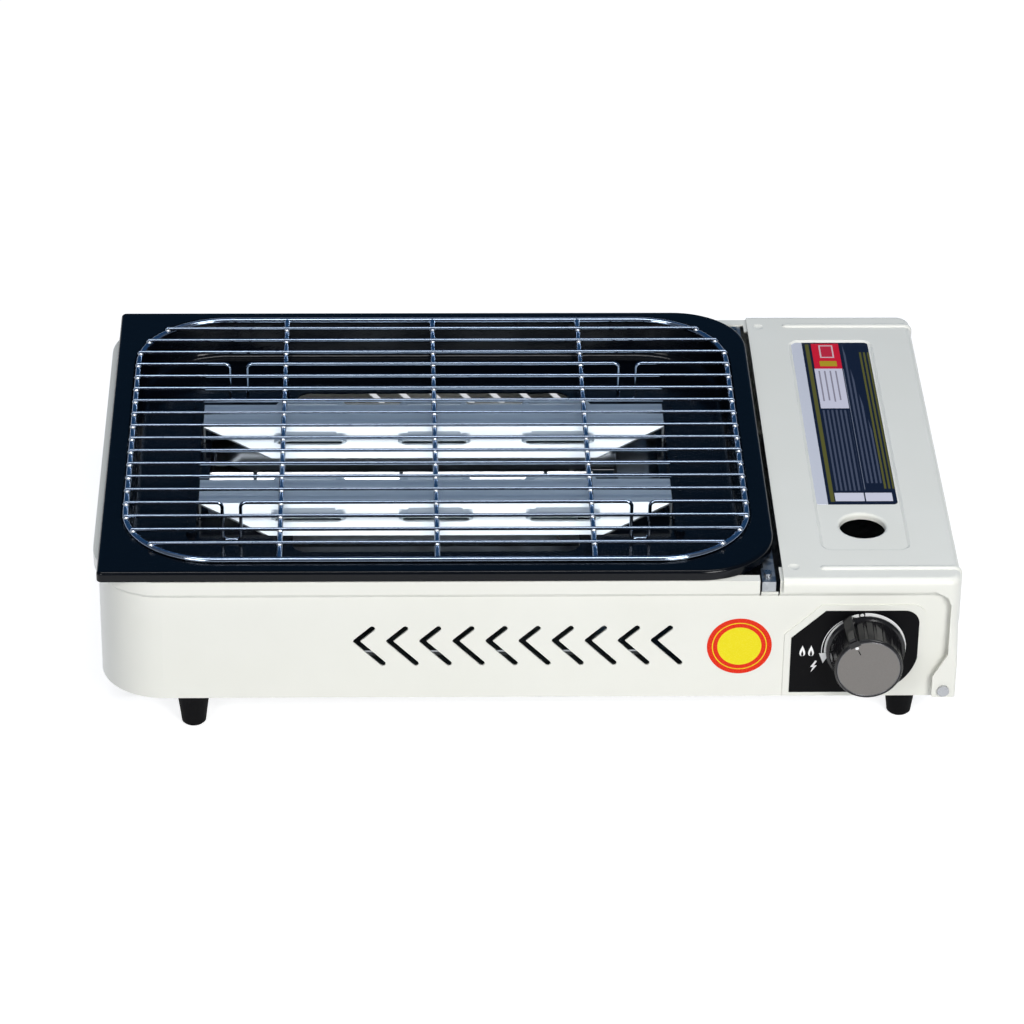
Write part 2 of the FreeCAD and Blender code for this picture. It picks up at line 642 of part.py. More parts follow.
def heat_plate(y_mid):
    """Folded sheet: flat top, two sloping skirts with tapered ends and hooded louvres, an end tab each side."""
    low_z = FLOOR_Z + SEAT_GAP
    half = HEAT_TOP_W / 2
    drop = HEAT_TOP_Z - low_z
    angle = math.atan2(drop, HEAT_OUT)
    lean = HEAT_T / math.tan((math.pi - angle) / 2)
    crown = [(y_mid - half - HEAT_OUT, low_z), (y_mid - half, HEAT_TOP_Z), (y_mid + half, HEAT_TOP_Z),
             (y_mid + half + HEAT_OUT, low_z)]
    under = [(y_mid + half + HEAT_OUT - HEAT_T / math.sin(angle), low_z), (y_mid + half - lean, HEAT_TOP_Z - HEAT_T),
             (y_mid - half + lean, HEAT_TOP_Z - HEAT_T),
             (y_mid - half - HEAT_OUT + HEAT_T / math.sin(angle), low_z)]
    x0 = MID_X - HEAT_L / 2
    wire = Part.makePolygon([Vector(x0, y, z) for y, z in crown + under + crown[:1]])
    plate = Part.Face(wire).extrude(Vector(HEAT_L, 0, 0))
    taper = (HEAT_L - HEAT_LOW_L) / 2
    cutters = []
    louvres = []
    for sign in (-1, 1):
        edge_y = y_mid + sign * half
        far_y = edge_y + sign * HEAT_OUT
        for end in (-1, 1):
            x_end = MID_X + end * HEAT_L / 2
            corner = [Vector(x_end, edge_y, 0), Vector(x_end - end * taper, far_y, 0),
                      Vector(x_end - end * taper, far_y + sign, 0), Vector(x_end + end, far_y + sign, 0),
                      Vector(x_end + end, edge_y, 0), Vector(x_end, edge_y, 0)]
            tri = Part.Face(Part.makePolygon(corner)).extrude(Vector(0, 0, TRAY_Z))
            cutters.append(tri)
        slope_y, slope_z = sign * math.cos(angle), -math.sin(angle)
        out_y, out_z = sign * math.sin(angle), math.cos(angle)
        for i in range(LOUVRE_COUNT):
            x = MID_X + (i - (LOUVRE_COUNT - 1) / 2) * LOUVRE_PITCH
            hood, gap = louvre(x, edge_y, slope_y, slope_z, out_y, out_z)
            louvres.append(hood)
            cutters.append(gap)
    tabs = []
    for end in (-1, 1):
        x_end = MID_X + end * HEAT_L / 2
        inner = x_end - end * HEAT_T
        tabs.append(box(min(x_end, inner), y_mid - half + 1, low_z, max(x_end, inner), y_mid + half - 1,
                        HEAT_TOP_Z - HEAT_T / 2))
    return fuse(plate.cut(cutters), *louvres, *tabs)


def louvre(x, edge_y, slope_y, slope_z, out_y, out_z):
    """Hood raised from a skirt, open at its lower edge, and the slot it was cut from."""

    def place(along, out):
        return edge_y + slope_y * along + out_y * out, HEAT_TOP_Z + slope_z * along + out_z * out

    def section(x_at, far):
        spots = [place(LOUVRE_UP, -HEAT_T), place(LOUVRE_UP, 0), place(LOUVRE_UP + LOUVRE_DROP, far),
                 place(LOUVRE_UP + LOUVRE_DROP, -HEAT_T)]
        return Part.makePolygon([Vector(x_at, y, z) for y, z in spots + spots[:1]])

    half = LOUVRE_L / 2
    wide = half + LOUVRE_FLARE
    spans = [(x - wide, 0.02), (x - half, LOUVRE_OUT), (x + half, LOUVRE_OUT), (x + wide, 0.02)]
    full = Part.makeLoft([section(x_at, far) for x_at, far in spans], True, True)
    inside = LOUVRE_OUT - HEAT_T

    def hollow(x_at, far):
        spots = [place(LOUVRE_UP + HEAT_T, -HEAT_T - 0.5), place(LOUVRE_UP + HEAT_T, -HEAT_T * 0.4),
                 place(LOUVRE_UP + LOUVRE_DROP + 0.6, far), place(LOUVRE_UP + LOUVRE_DROP + 0.6, -HEAT_T - 0.5)]
        return Part.makePolygon([Vector(x_at, y, z) for y, z in spots + spots[:1]])

    room = Part.makeLoft([hollow(x - half, inside), hollow(x + half, inside)], True, True)
    return full.cut(room), room


def make_ring():
    half_w, half_d = RING_W / 2, RING_D / 2
    path = outline(MID_X - half_w, MID_Y - half_d, MID_X + half_w, MID_Y + half_d, RING_Z, RING_R)
    first = path.OrderedEdges[1]
    start = first.Vertexes[0].Point
    along = first.Vertexes[1].Point - start
    section = Part.Wire(Part.makeCircle(RING_WIRE_R, start, along))
    order = path.OrderedEdges[1:] + path.OrderedEdges[:1]
    return Part.Wire(order).makePipeShell([section], True, False)


def ring_edge_x(y):
    """Half the ring's width at one depth, along its wire's middle."""
    inside = abs(y - MID_Y) - (RING_D / 2 - RING_R)
    if inside <= 0:
        return RING_W / 2
    return RING_W / 2 - RING_R + math.sqrt(RING_R ** 2 - inside ** 2)


def cross_y(i):
    return MID_Y - RING_D / 2 + RING_D * i / (CROSS_COUNT + 1)


def make_long_wire(x):
    z = RING_Z + RING_WIRE_R - LONG_WIRE_R
    reach = RING_D / 2 - RING_WIRE_R + WELD_SINK
    return rod((x, MID_Y - reach, z), (x, MID_Y + reach, z), LONG_WIRE_R)


CROSS_Z = RING_Z + RING_WIRE_R + CROSS_WIRE_R - WELD_SINK


def make_cross_wire(i):
    y = cross_y(i)
    reach = ring_edge_x(y) + RING_WIRE_R * 0.4
    return rod((MID_X - reach, y, CROSS_Z), (MID_X + reach, y, CROSS_Z), CROSS_WIRE_R)


def make_leg_wire(i):
    """A cross wire bent down into two legs that stand on the tray's floor."""
    y = cross_y(i)
    reach = ring_edge_x(y) + RING_WIRE_R * 0.4
    foot_z = FLOOR_Z + SEAT_GAP + CROSS_WIRE_R
    points = [(MID_X - reach, y, CROSS_Z)]
    for x in (MID_X - LEG_X, MID_X + LEG_X):
        near, far = x - LEG_W / 2, x + LEG_W / 2
        points += [(near, y, CROSS_Z), (near, y, foot_z), (far, y, foot_z), (far, y, CROSS_Z)]
    points.append((MID_X + reach, y, CROSS_Z))
    return bent_wire(points, CROSS_WIRE_R, LEG_BEND)


def cover_outline(inset, z, r):
    """Cover's outline at one height: sharp at the left, where it is cut off later, and rounded at the right."""
    x0, x1 = LID_X0 - 10, LID_X1 - inset
    y0, y1 = -LID_OUT + inset, BODY_D + LID_OUT - inset
    bulge = r * (1 - math.sqrt(0.5))
    front = Part.Arc(Vector(x1 - r, y0, z), Vector(x1 - bulge, y0 + bulge, z), Vector(x1, y0 + r, z))
    rear = Part.Arc(Vector(x1, y1 - r, z), Vector(x1 - bulge, y1 - bulge, z), Vector(x1 - r, y1, z))
    sides = [Part.LineSegment(Vector(x0, y0, z), Vector(x1 - r, y0, z)), front,
             Part.LineSegment(Vector(x1, y0 + r, z), Vector(x1, y1 - r, z)), rear,
             Part.LineSegment(Vector(x1 - r, y1, z), Vector(x0, y1, z)),
             Part.LineSegment(Vector(x0, y1, z), Vector(x0, y0, z))]
    return Part.Wire([side.toShape() for side in sides])


def cover_block(inset, low):
    """Room inside the cover's outline: square corners by the hinges, rounder ones near the top, bent edges."""
    z0, z1 = LID_FLARE_Z
    above = slab(cover_outline(inset, z1, LID_R - inset), LID_Z - inset - z1)
    edges = [e for e in above.Edges if e.BoundBox.ZMin > LID_Z - inset - 0.1 and e.BoundBox.XMax > LID_X0]
    above = above.makeFillet(LID_BEND_R - inset, edges)
    lower = slab(cover_outline(inset, low, LID_LOW_R - inset), z0 - low)
    flare = loft(cover_outline(inset, z0, LID_LOW_R - inset), cover_outline(inset, z1, LID_R - inset))
    return fuse(lower, flare, above)


def make_lid():
    y0, y1 = -LID_OUT, BODY_D + LID_OUT
    low = LID_LOW_Z
    ribs = [lid_rib(y) for y in (RIB_Y, BODY_D - RIB_Y)]
    shell = fuse(cover_block(0.0, low), *ribs).cut(cover_block(SHEET, low - 1))
    apron = LID_Z - LID_APRON
    leg_x = LID_X1 - LID_LEG_W
    foot_x = LID_X1 - LID_LEG_FOOT_W
    far_x = LID_X0 - 20
    away = [(far_x, low - 2), (foot_x, low - 2), (foot_x, LID_LEG_FOOT_Z), (leg_x, LID_LEG_FOOT_Z + LID_LEG_RISE),
            (leg_x, apron - 9), (leg_x - 2, apron - 4), (leg_x - 9, apron), (far_x, apron)]
    clear = SEAT_GAP + 0.2
    side = box(LID_X1 - LID_R, -clear, low - 2, LID_X1 + 1, BODY_D + clear, LID_SIDE_Z)
    left = box(LID_X0 - 15, y0 - 5, low - 2, LID_X0, y1 + 5, LID_Z + 5)
    shell = shell.cut([prism_y(away, y0 - 5, y1 + 5), side, left])
    rx0, ry0, rx1, ry1 = LID_RECESS
    sink = LID_RECESS_SLOPE
    under = LID_Z - SHEET - LID_RECESS_DEPTH
    skin = slab(outline(rx0 + sink / 2, ry0 + sink / 2, rx1 - sink / 2, ry1 - sink / 2, under, 5.0), SHEET)
    tray_cut = loft(outline(rx0 + sink, ry0 + sink, rx1 - sink, ry1 - sink, LID_Z - LID_RECESS_DEPTH, 5.0),
                    outline(rx0, ry0, rx1, ry1, LID_Z, 6.6))
    shell = fuse(shell, skin).cut(tray_cut)
    return dimples(finger_hole(shell)).cut(hinge_holes())


def lid_rib(y):
    """Rib across the cover's top and down its right side."""
    deep = RIB_R - RIB_UP
    side_x = LID_X1 - deep
    top_z = LID_Z - deep
    path = [(RIB_X0, y, top_z), (side_x, y, top_z), (side_x, y, top_z - RIB_DOWN)]
    wire = bent_wire(path, RIB_R, LID_BEND_R - deep)
    left_end = Part.makeSphere(RIB_R, Vector(*path[0]), Vector(1, 0, 0))
    left_end.rotate(Vector(*path[0]), Vector(1, 0, 0), 180)
    low_end = Part.makeSphere(RIB_R, Vector(*path[-1]), Vector(0, 0, 1))
    low_end.rotate(Vector(*path[-1]), Vector(0, 0, 1), 180)
    return fuse(wire, left_end, low_end)


def finger_hole(shell):
    """Round hole with a rounded edge and a short neck turned down."""
    top = LID_Z - LID_RECESS_DEPTH
    neck = rod((HOLE_X, HOLE_Y, top - HOLE_NECK), (HOLE_X, HOLE_Y, top - SHEET / 2), HOLE_R + SHEET)
    r = HOLE_ROUND
    arc = [(HOLE_X + HOLE_R + r - r * math.cos(math.radians(a)), HOLE_Y, top - r + r * math.sin(math.radians(a)))
           for a in (0, 30, 60, 90)]
    profile = [(HOLE_X, HOLE_Y, top - HOLE_NECK - 1), (HOLE_X + HOLE_R, HOLE_Y, top - HOLE_NECK - 1)] + arc
    profile += [(HOLE_X + HOLE_R + r, HOLE_Y, top + 2), (HOLE_X, HOLE_Y, top + 2)]
    return fuse(shell, neck).cut(turned(profile, (HOLE_X, HOLE_Y, 0), (0, 0, 1)))


def dimples(shell):
    """Two dimples that stand on the rim when the cover is shut."""
    deep = LID_Z - SHEET - RIM_Z - SEAT_GAP
    for y in (DIMPLE_Y, BODY_D - DIMPLE_Y):
        boss = rod((DIMPLE_X, y, LID_Z - SHEET - deep), (DIMPLE_X, y, LID_Z - SHEET / 2), DIMPLE_R)
        centre = Vector(DIMPLE_X, y, LID_Z + DIMPLE_BALL_R - deep - 0.3)
        ball = Part.makeSphere(DIMPLE_BALL_R, centre, Vector(0, 1, 0))
        shell = fuse(shell, boss).cut(ball)
    return shell


def hinge_holes():
    return [rod((HINGE_X, y - 4, HINGE_Z), (HINGE_X, y + 4, HINGE_Z), HINGE_PIN_R + RUN_GAP)
            for y in (-LID_OUT, BODY_D + LID_OUT)]


def make_rivet(sign):
    """Shouldered hinge rivet: outer head, pin through the cover's cheek, collar, tail closed inside the wall."""
    wall = 0.0 if sign < 0 else BODY_D

    def at(out):
        return (HINGE_X, wall + sign * out, HINGE_Z)

    face = LID_OUT + RUN_GAP
    head = rod(at(face), at(RIVET_OUT), HINGE_PIN_R + 1.2)
    pin = rod(at(-SHEET - 0.5), at(face + 0.5), HINGE_PIN_R)
    collar = rod(at(0), at(LID_OUT - SHEET - RUN_GAP), HINGE_PIN_R + 2.2)
    tail = rod(at(-SHEET), at(-SHEET - 1.4), HINGE_PIN_R + 0.6)
    return fuse(head, pin, collar, tail)


def make_knob():
    """Fluted knob with a skirt, a pointer rib, a recess for its face and a flatted bore."""
    back = PAD_OUT + PLATE_T + 0.5
    front = KNOB_FRONT
    rows = [(0, back), (SKIRT_R - 0.6, back), (SKIRT_R, back + 0.8), (SKIRT_R, back + SKIRT_T - 0.8),
            (SKIRT_R - 0.8, back + SKIRT_T), (GRIP_BACK_R, back + SKIRT_T + 0.4), (GRIP_FRONT_R, front - 1.2),
            (GRIP_FRONT_R - 0.8, front), (FACE_R + 0.1, front), (FACE_R + 0.1, front - FACE_DEEP),
            (0, front - FACE_DEEP)]
    knob = turned([(KNOB_X + r, -y, KNOB_Z) for r, y in rows], (KNOB_X, 0, KNOB_Z), (0, 1, 0))
    cuts = []
    for i in range(FLUTES):
        turn = math.radians(POINTER_DEG + 360 * (i + 0.5) / FLUTES)
        start = [KNOB_X + (GRIP_BACK_R + 0.3) * math.cos(turn), -back - SKIRT_T - 0.6,
                 KNOB_Z + (GRIP_BACK_R + 0.3) * math.sin(turn)]
        end = [KNOB_X + (GRIP_FRONT_R + 0.5) * math.cos(turn), -front - 1,
               KNOB_Z + (GRIP_FRONT_R + 0.5) * math.sin(turn)]
        cuts.append(rod(start, end, FLUTE_R))
    knob = knob.cut(cuts)
    rib = box(KNOB_X + GRIP_FRONT_R - 1, -front + 0.6, KNOB_Z - POINTER_W / 2, KNOB_X + POINTER_R,
              -back - SKIRT_T / 2, KNOB_Z + POINTER_W / 2)
    rib.rotate(Vector(KNOB_X, 0, KNOB_Z), Vector(0, -1, 0), POINTER_DEG)
    bore = spindle_bar(RUN_GAP / 2, front - SPINDLE_TIP + 0.5, -1)
    return fuse(knob, rib).cut(bore)


def spindle_bar(grow, out, back_y):
    """Round bar with one flat, along the knob's axis."""
    bar = rod((KNOB_X, -out, KNOB_Z), (KNOB_X, back_y, KNOB_Z), SPINDLE_R + grow)
    flat = box(KNOB_X - 5, -out - 1, KNOB_Z - 6, KNOB_X + 5, min(back_y, -1.0), KNOB_Z - SPINDLE_FLAT - grow)
    return bar.cut(flat)


def make_knob_face():
    front = KNOB_FRONT - FACE_DEEP
    rows = [(0, front), (FACE_R, front), (FACE_R, front + FACE_T * 0.6), (FACE_R - 0.5, front + FACE_T),
            (0, front + FACE_T)]
    return turned([(KNOB_X + r, -y, KNOB_Z) for r, y in rows], (KNOB_X, 0, KNOB_Z), (0, 1, 0))


PIEZO_X = KNOB_X + PIEZO_OFF
PIEZO_Z = BASE_TOP + BRACKET_T + PIEZO_W / 2
LEAD_Y = REG_Y1 + 4.5
LEAD_Z = PIEZO_Z
PIPE_Y = REG_Y1 - 6.0
PIPE_Z = REG_Z0 + 6.0
PARTITION_SCREWS = ((WALL_X - PARTITION_SCREW_IN, PARTITION_SCREW_FRONT),
                    (WALL_X - PARTITION_SCREW_IN, BODY_D - PARTITION_SCREW_REAR))


def make_regulator_bracket():
    x0, x1 = KNOB_X - BRACKET_LEFT, KNOB_X + BRACKET_RIGHT
    plate = box(x0, BRACKET_Y, BASE_TOP, x1, REG_Y0, REG_Z1 + BRACKET_UP)
    foot = box(x0, BRACKET_Y, BASE_TOP, x1, BRACKET_Y + BRACKET_FOOT_L, BASE_TOP + BRACKET_T)
    holes = [rod((KNOB_X, 0, KNOB_Z), (KNOB_X, REG_Y0 + 1, KNOB_Z), SPINDLE_R + 0.6)]
    holes += [rod((KNOB_X + s * BOLT_OFF, 0, BOLT_Z), (KNOB_X + s * BOLT_OFF, REG_Y0 + 1, BOLT_Z),
                  SCREW_R + RUN_GAP) for s in (-1, 1)]
    return fuse(plate, foot).cut(holes)


def make_regulator():
    """Cast body with rounded corners, a bore for the spindle, an inlet boss and a pad for the cap."""
    x0, x1 = KNOB_X - REG_W / 2, KNOB_X + REG_W / 2
    block = box(x0, REG_Y0, REG_Z0, x1, REG_Y1, REG_Z1)
    upright = [e for e in block.Edges if e.BoundBox.YLength > REG_D - 0.1]
    block = block.makeFillet(5.0, upright)
    boss = rod((KNOB_X, REG_Y1 - 1, CART_Z), (KNOB_X, CART_PLATE_Y + 3, CART_Z), BOSS_R)
    bores = [rod((KNOB_X, REG_Y0 - 1, KNOB_Z), (KNOB_X, REG_Y0 + SPINDLE_BACK, KNOB_Z), SPINDLE_R + RUN_GAP),
             rod((KNOB_X, REG_Y1 - 8, CART_Z), (KNOB_X, CART_PLATE_Y + 4, CART_Z), 2.5),
             rod((x0 - 1, PIPE_Y, PIPE_Z), (x0 + 6, PIPE_Y, PIPE_Z), PIPE_R + RUN_GAP)]
    bores += [rod((KNOB_X + s * BOLT_OFF, REG_Y0 - 1, BOLT_Z), (KNOB_X + s * BOLT_OFF, REG_Y0 + 8, BOLT_Z),
                  SCREW_R + RUN_GAP) for s in (-1, 1)]
    return fuse(block, boss).cut(bores)


def make_bracket_screw(sign):
    x, z = KNOB_X + sign * BOLT_OFF, BOLT_Z
    head = rod((x, BRACKET_Y - SCREW_HEAD_H, z), (x, BRACKET_Y, z), SCREW_HEAD_R)
    shank = rod((x, BRACKET_Y - 1, z), (x, REG_Y0 + 7, z), SCREW_R)
    return fuse(head, shank)


CAP_X = KNOB_X - REG_W / 2
CAP_Y = REG_Y0 + CAP_R + 2
CAP_Z = (REG_Z0 + REG_Z1) / 2 + 2


def make_cap():
    """Domed spring cap on the regulator's side."""
    rows = [(0, 0), (CAP_R, 0), (CAP_R, 2.0), (CAP_R - 5, 2.0), (CAP_R - 6, CAP_T), (0, CAP_T)]
    cap = turned([(CAP_X - x, CAP_Y, CAP_Z + r) for r, x in rows], (CAP_X, CAP_Y, CAP_Z), (1, 0, 0))
    return cap.cut([cap_screw(a, RUN_GAP) for a in CAP_SCREW_ANGLES])


CAP_SCREW_ANGLES = (45, 135, 225, 315)


def cap_screw(angle, grow):
    y = CAP_Y + (CAP_R - 2.6) * math.cos(math.radians(angle))
    z = CAP_Z + (CAP_R - 2.6) * math.sin(math.radians(angle))
    shank = rod((CAP_X - 2.5, y, z), (CAP_X, y, z), 1.2 + grow)
    if grow:
        return shank
    return fuse(rod((CAP_X - 3.6, y, z), (CAP_X - 2.0, y, z), 2.1), shank)


def make_cartridge_plate():
    """Upright plate that the cartridge is pushed against, with holes for the socket."""
    x0, x1 = KNOB_X - CART_PLATE_W / 2, KNOB_X + CART_PLATE_W / 2
    upright = box(x0, CART_PLATE_Y, BASE_TOP, x1, SOCKET_Y, CART_Z + CART_PLATE_UP)
    foot = box(x0, CART_PLATE_Y, BASE_TOP, x1, CART_PLATE_Y + CART_PLATE_FOOT, BASE_TOP + CART_PLATE_T)
    hole = rod((KNOB_X, CART_PLATE_Y - 1, CART_Z), (KNOB_X, CART_PLATE_Y + 2, CART_Z), BOSS_R + 0.3)
    return fuse(upright, foot).cut(hole)


SOCKET_Y = CART_PLATE_Y + CART_PLATE_T


def make_socket():
    """Ring round the inlet, with the key that fits the cartridge's notch at its top."""
    ring = tube((KNOB_X, SOCKET_Y, CART_Z), (KNOB_X, SOCKET_Y + SOCKET_T, CART_Z), SOCKET_R, 3.0)
    floor = tube((KNOB_X, SOCKET_Y + 1.8, CART_Z), (KNOB_X, SOCKET_Y + 3.8, CART_Z), SOCKET_R - 1, 8.8)
    key = box(KNOB_X - 2, SOCKET_Y + SOCKET_T - 1, CART_Z + SOCKET_R - 3, KNOB_X + 2, SOCKET_Y + SOCKET_T + 3,
              CART_Z + SOCKET_R - 0.5)
    return fuse(ring, floor, key)


def make_seal():
    y = SOCKET_Y + 3.8
    return tube((KNOB_X, y, CART_Z), (KNOB_X, y + SEAL_T, CART_Z), SEAL_R, 3.8)


def make_magnet(sign):
    x = KNOB_X + sign * MAGNET_OFF
    return rod((x, SOCKET_Y, CART_Z), (x, SOCKET_Y + MAGNET_T, CART_Z), MAGNET_R)


def make_cradle():
    """Two uprights hollowed to the cartridge, joined by a strip on the base plate."""
    half = CRADLE_STRIP_W / 2
    strip = box(KNOB_X - half, CRADLE_Y[0], BASE_TOP, KNOB_X + half, CRADLE_Y[1], BASE_TOP + SHEET)
    x0, x1 = KNOB_X - CRADLE_W / 2, KNOB_X + CRADLE_W / 2
    legs = [box(x0, y - CRADLE_T / 2, BASE_TOP, x1, y + CRADLE_T / 2, BASE_TOP + CRADLE_H) for y in CRADLE_Y]
    can = rod((KNOB_X, CRADLE_Y[0] - 5, CART_Z), (KNOB_X, CRADLE_Y[1] + 5, CART_Z), CART_R + 0.4)
    return fuse(strip, *legs).cut(can)


def make_piezo():
    """Igniter block behind the bracket, with the terminal for its lead."""
    half = PIEZO_W / 2
    block = box(PIEZO_X - half, REG_Y0, PIEZO_Z - half, PIEZO_X + half, REG_Y0 + PIEZO_L, PIEZO_Z + half)
    neck = rod((PIEZO_X, REG_Y0 + PIEZO_L - 1, PIEZO_Z), (PIEZO_X, REG_Y0 + PIEZO_L + 3, PIEZO_Z), 3.0)
    return fuse(block, neck)


LEAD_START_Y = REG_Y0 + PIEZO_L + 3
ELECTRODE_X = PAN_X1 + 20
ELECTRODE_TIP = PAN_X1 - 10
ELECTRODE_Y = MID_Y - HEAT_OFF - ELECTRODE_OFF
ELECTRODE_Z = BURNER_Z + ELECTRODE_RISE


def make_lead():
    side_x = WALL_X - LEAD_IN
    points = [(PIEZO_X, LEAD_START_Y, LEAD_Z), (PIEZO_X, LEAD_Y, LEAD_Z), (side_x, LEAD_Y, LEAD_Z),
              (side_x, ELECTRODE_Y, LEAD_Z), (side_x, ELECTRODE_Y, ELECTRODE_Z),
              (ELECTRODE_X, ELECTRODE_Y, ELECTRODE_Z)]
    return bent_wire(points, LEAD_R, 3.4)


def make_insulator():
    body = rod((ELECTRODE_TIP, ELECTRODE_Y, ELECTRODE_Z), (ELECTRODE_X, ELECTRODE_Y, ELECTRODE_Z), INSULATOR_R)
    collar = rod((PAN_X1, ELECTRODE_Y, ELECTRODE_Z), (PAN_X1 + 2.5, ELECTRODE_Y, ELECTRODE_Z), 4.5)
    return fuse(body, collar)


def make_electrode_pin():
    points = [(ELECTRODE_TIP, ELECTRODE_Y, ELECTRODE_Z), (ELECTRODE_TIP - 9, ELECTRODE_Y, ELECTRODE_Z),
              (ELECTRODE_TIP - 12, ELECTRODE_Y + 4.5, ELECTRODE_Z + 1)]
    return bent_wire(points, 0.8, 2.0)


INJECTOR_Z = BURNER_Z


def make_gas_pipe():
    elbow_x = ELBOW_X1 - ELBOW_BACK - ELBOW_W / 2
    points = [(CAP_X + 5, PIPE_Y, PIPE_Z), (elbow_x, PIPE_Y, PIPE_Z), (elbow_x, MID_Y, PIPE_Z),
              (elbow_x, MID_Y, INJECTOR_Z - ELBOW_W / 2)]
    return bent_wire(points, PIPE_R, 7.0)


def make_elbow():
    """Brass block on the partition that turns the gas towards the burners."""
    half = ELBOW_W / 2
    block = box(ELBOW_X0, MID_Y - half, INJECTOR_Z - half, ELBOW_X1, MID_Y + half, INJECTOR_Z + half)
    boss = rod((JET_X, MID_Y, INJECTOR_Z), (ELBOW_X0 + 1, MID_Y, INJECTOR_Z), 4.5)
    bore = rod((JET_X - 1, MID_Y, INJECTOR_Z), (ELBOW_X0 + 8, MID_Y, INJECTOR_Z), 2.2)
    return fuse(block, boss).cut(bore)


def make_injector():
    """Jet screwed into the elbow: six-sided head and pierced tip."""
    head = hexagon(0, 0, 0, 8.0, 3.0)
    head.rotate(Vector(0, 0, 0), Vector(0, 1, 0), -90)
    head.translate(Vector(JET_X, MID_Y, INJECTOR_Z))
    stem = rod((JET_X - 1, MID_Y, INJECTOR_Z), (JET_X + 6, MID_Y, INJECTOR_Z), 2.2 - RUN_GAP / 2)
    tip = rod((JET_X - JET_OUT, MID_Y, INJECTOR_Z), (JET_X - 2.5, MID_Y, INJECTOR_Z), 2.6)
    hole = rod((JET_X - JET_OUT - 0.5, MID_Y, INJECTOR_Z), (JET_X - 2, MID_Y, INJECTOR_Z), 0.5)
    return fuse(head, stem, tip).cut(hole)


def make_mixing_tube():
    """Venturi: bell mouth, throat and a slow widening, with air holes beside the throat."""
    x0 = MANIFOLD_X0 + MANIFOLD_W
    x1 = x0 + MIX_L
    wall = 1.0
    rows = [(x0, MIX_THROAT_R + 2.0), (x0 + 12, MIX_THROAT_R), (x1 - 9, MIX_THROAT_R), (x1 - 3, MIX_THROAT_R + 2.0),
            (x1, MIX_MOUTH_R)]
    profile = [(x, MID_Y, INJECTOR_Z + r + wall) for x, r in rows]
    profile += [(x, MID_Y, INJECTOR_Z + r) for x, r in reversed(rows)]
    return turned(profile, (x0, MID_Y, INJECTOR_Z), (1, 0, 0))


def make_manifold():
    """Square tube across the ends of both burners, open to them and to the mixing tube."""
    half_l = MANIFOLD_L / 2
    half_w = MANIFOLD_W / 2
    x0, x1 = MANIFOLD_X0, MANIFOLD_X0 + MANIFOLD_W
    outer = box(x0, MID_Y - half_l, BURNER_Z - half_w, x1, MID_Y + half_l, BURNER_Z + half_w)
    inner = box(x0 + 1, MID_Y - half_l + 1, BURNER_Z - half_w + 1, x1 - 1, MID_Y + half_l - 1,
                BURNER_Z + half_w - 1)
    ports = [rod((x0 - 1, y, BURNER_Z), (x0 + 3, y, BURNER_Z), BURNER_R - 2.5) for y in BURNER_Y]
    ports.append(rod((x1 - 3, MID_Y, BURNER_Z), (x1 + 1, MID_Y, BURNER_Z), MIX_THROAT_R + 1.5))
    return outer.cut([inner] + ports)


def make_burner(y):
    """Tube with a row of flame ports along each shoulder, its far end squeezed flat."""
    start = BURNER_X0 + FISHTAIL_L
    body = rod((start, y, BURNER_Z), (MANIFOLD_X0, y, BURNER_Z), BURNER_R)
    bore = rod((start + BURNER_WALL, y, BURNER_Z), (MANIFOLD_X0 + 1, y, BURNER_Z), BURNER_R - BURNER_WALL)
    ring = Part.Wire(Part.makeCircle(BURNER_R, Vector(start, y, BURNER_Z), Vector(1, 0, 0)))
    flat = Part.Ellipse(Vector(start - 9, y, BURNER_Z), 11.0, 1.4)
    flat.rotate(FreeCAD.Placement(Vector(start - 9, y, BURNER_Z), FreeCAD.Rotation(Vector(1, 1, 1), 120),
                                  Vector(0, 0, 0)))
    squeezed = Part.Wire(flat.toShape())
    tail = box(BURNER_X0, y - 10.5, BURNER_Z - 1.2, start - 8, y + 10.5, BURNER_Z + 1.2)
    body = fuse(body, Part.makeLoft([ring, squeezed], True, True), tail)
    span = MANIFOLD_X0 - start - 24
    ports = []
    for i in range(PORTS):
        x = start + 12 + span * i / (PORTS - 1)
        for side in (-1, 1):
            tilt = math.radians(90 + 50 * side)
            reach = BURNER_R + 2
            ports.append(rod((x, y, BURNER_Z), (x, y + reach * math.cos(tilt), BURNER_Z + reach * math.sin(tilt)),
                             PORT_R))
    return body.cut([bore] + ports)


def make_saddle(x, y):
    """Small block that carries a burner above the pan's trough."""
    block = box(x, y - 6, TROUGH_Z, x + 3, y + 6, BURNER_Z - 4)
    return block.cut(rod((x - 1, y, BURNER_Z), (x + 4, y, BURNER_Z), BURNER_R))


def make_manifold_bracket():
    """Folded stand under the manifold."""
    x0, x1 = MANIFOLD_X0 + 2, MANIFOLD_X0 + MANIFOLD_W - 2
    top = BURNER_Z - MANIFOLD_W / 2
    half = MANIFOLD_STAND_W / 2
    plate = box(x0, MID_Y - half, top - STAND_T, x1, MID_Y + half, top)
    legs = [box(x0, y, BASE_TOP, x1, y + STAND_T, top) for y in (MID_Y - half, MID_Y + half - STAND_T)]
    feet = [box(x0, y, BASE_TOP, x1, y + 10, BASE_TOP + STAND_T) for y in (MID_Y - half, MID_Y + half - 10)]
    return fuse(plate, *legs, *feet)


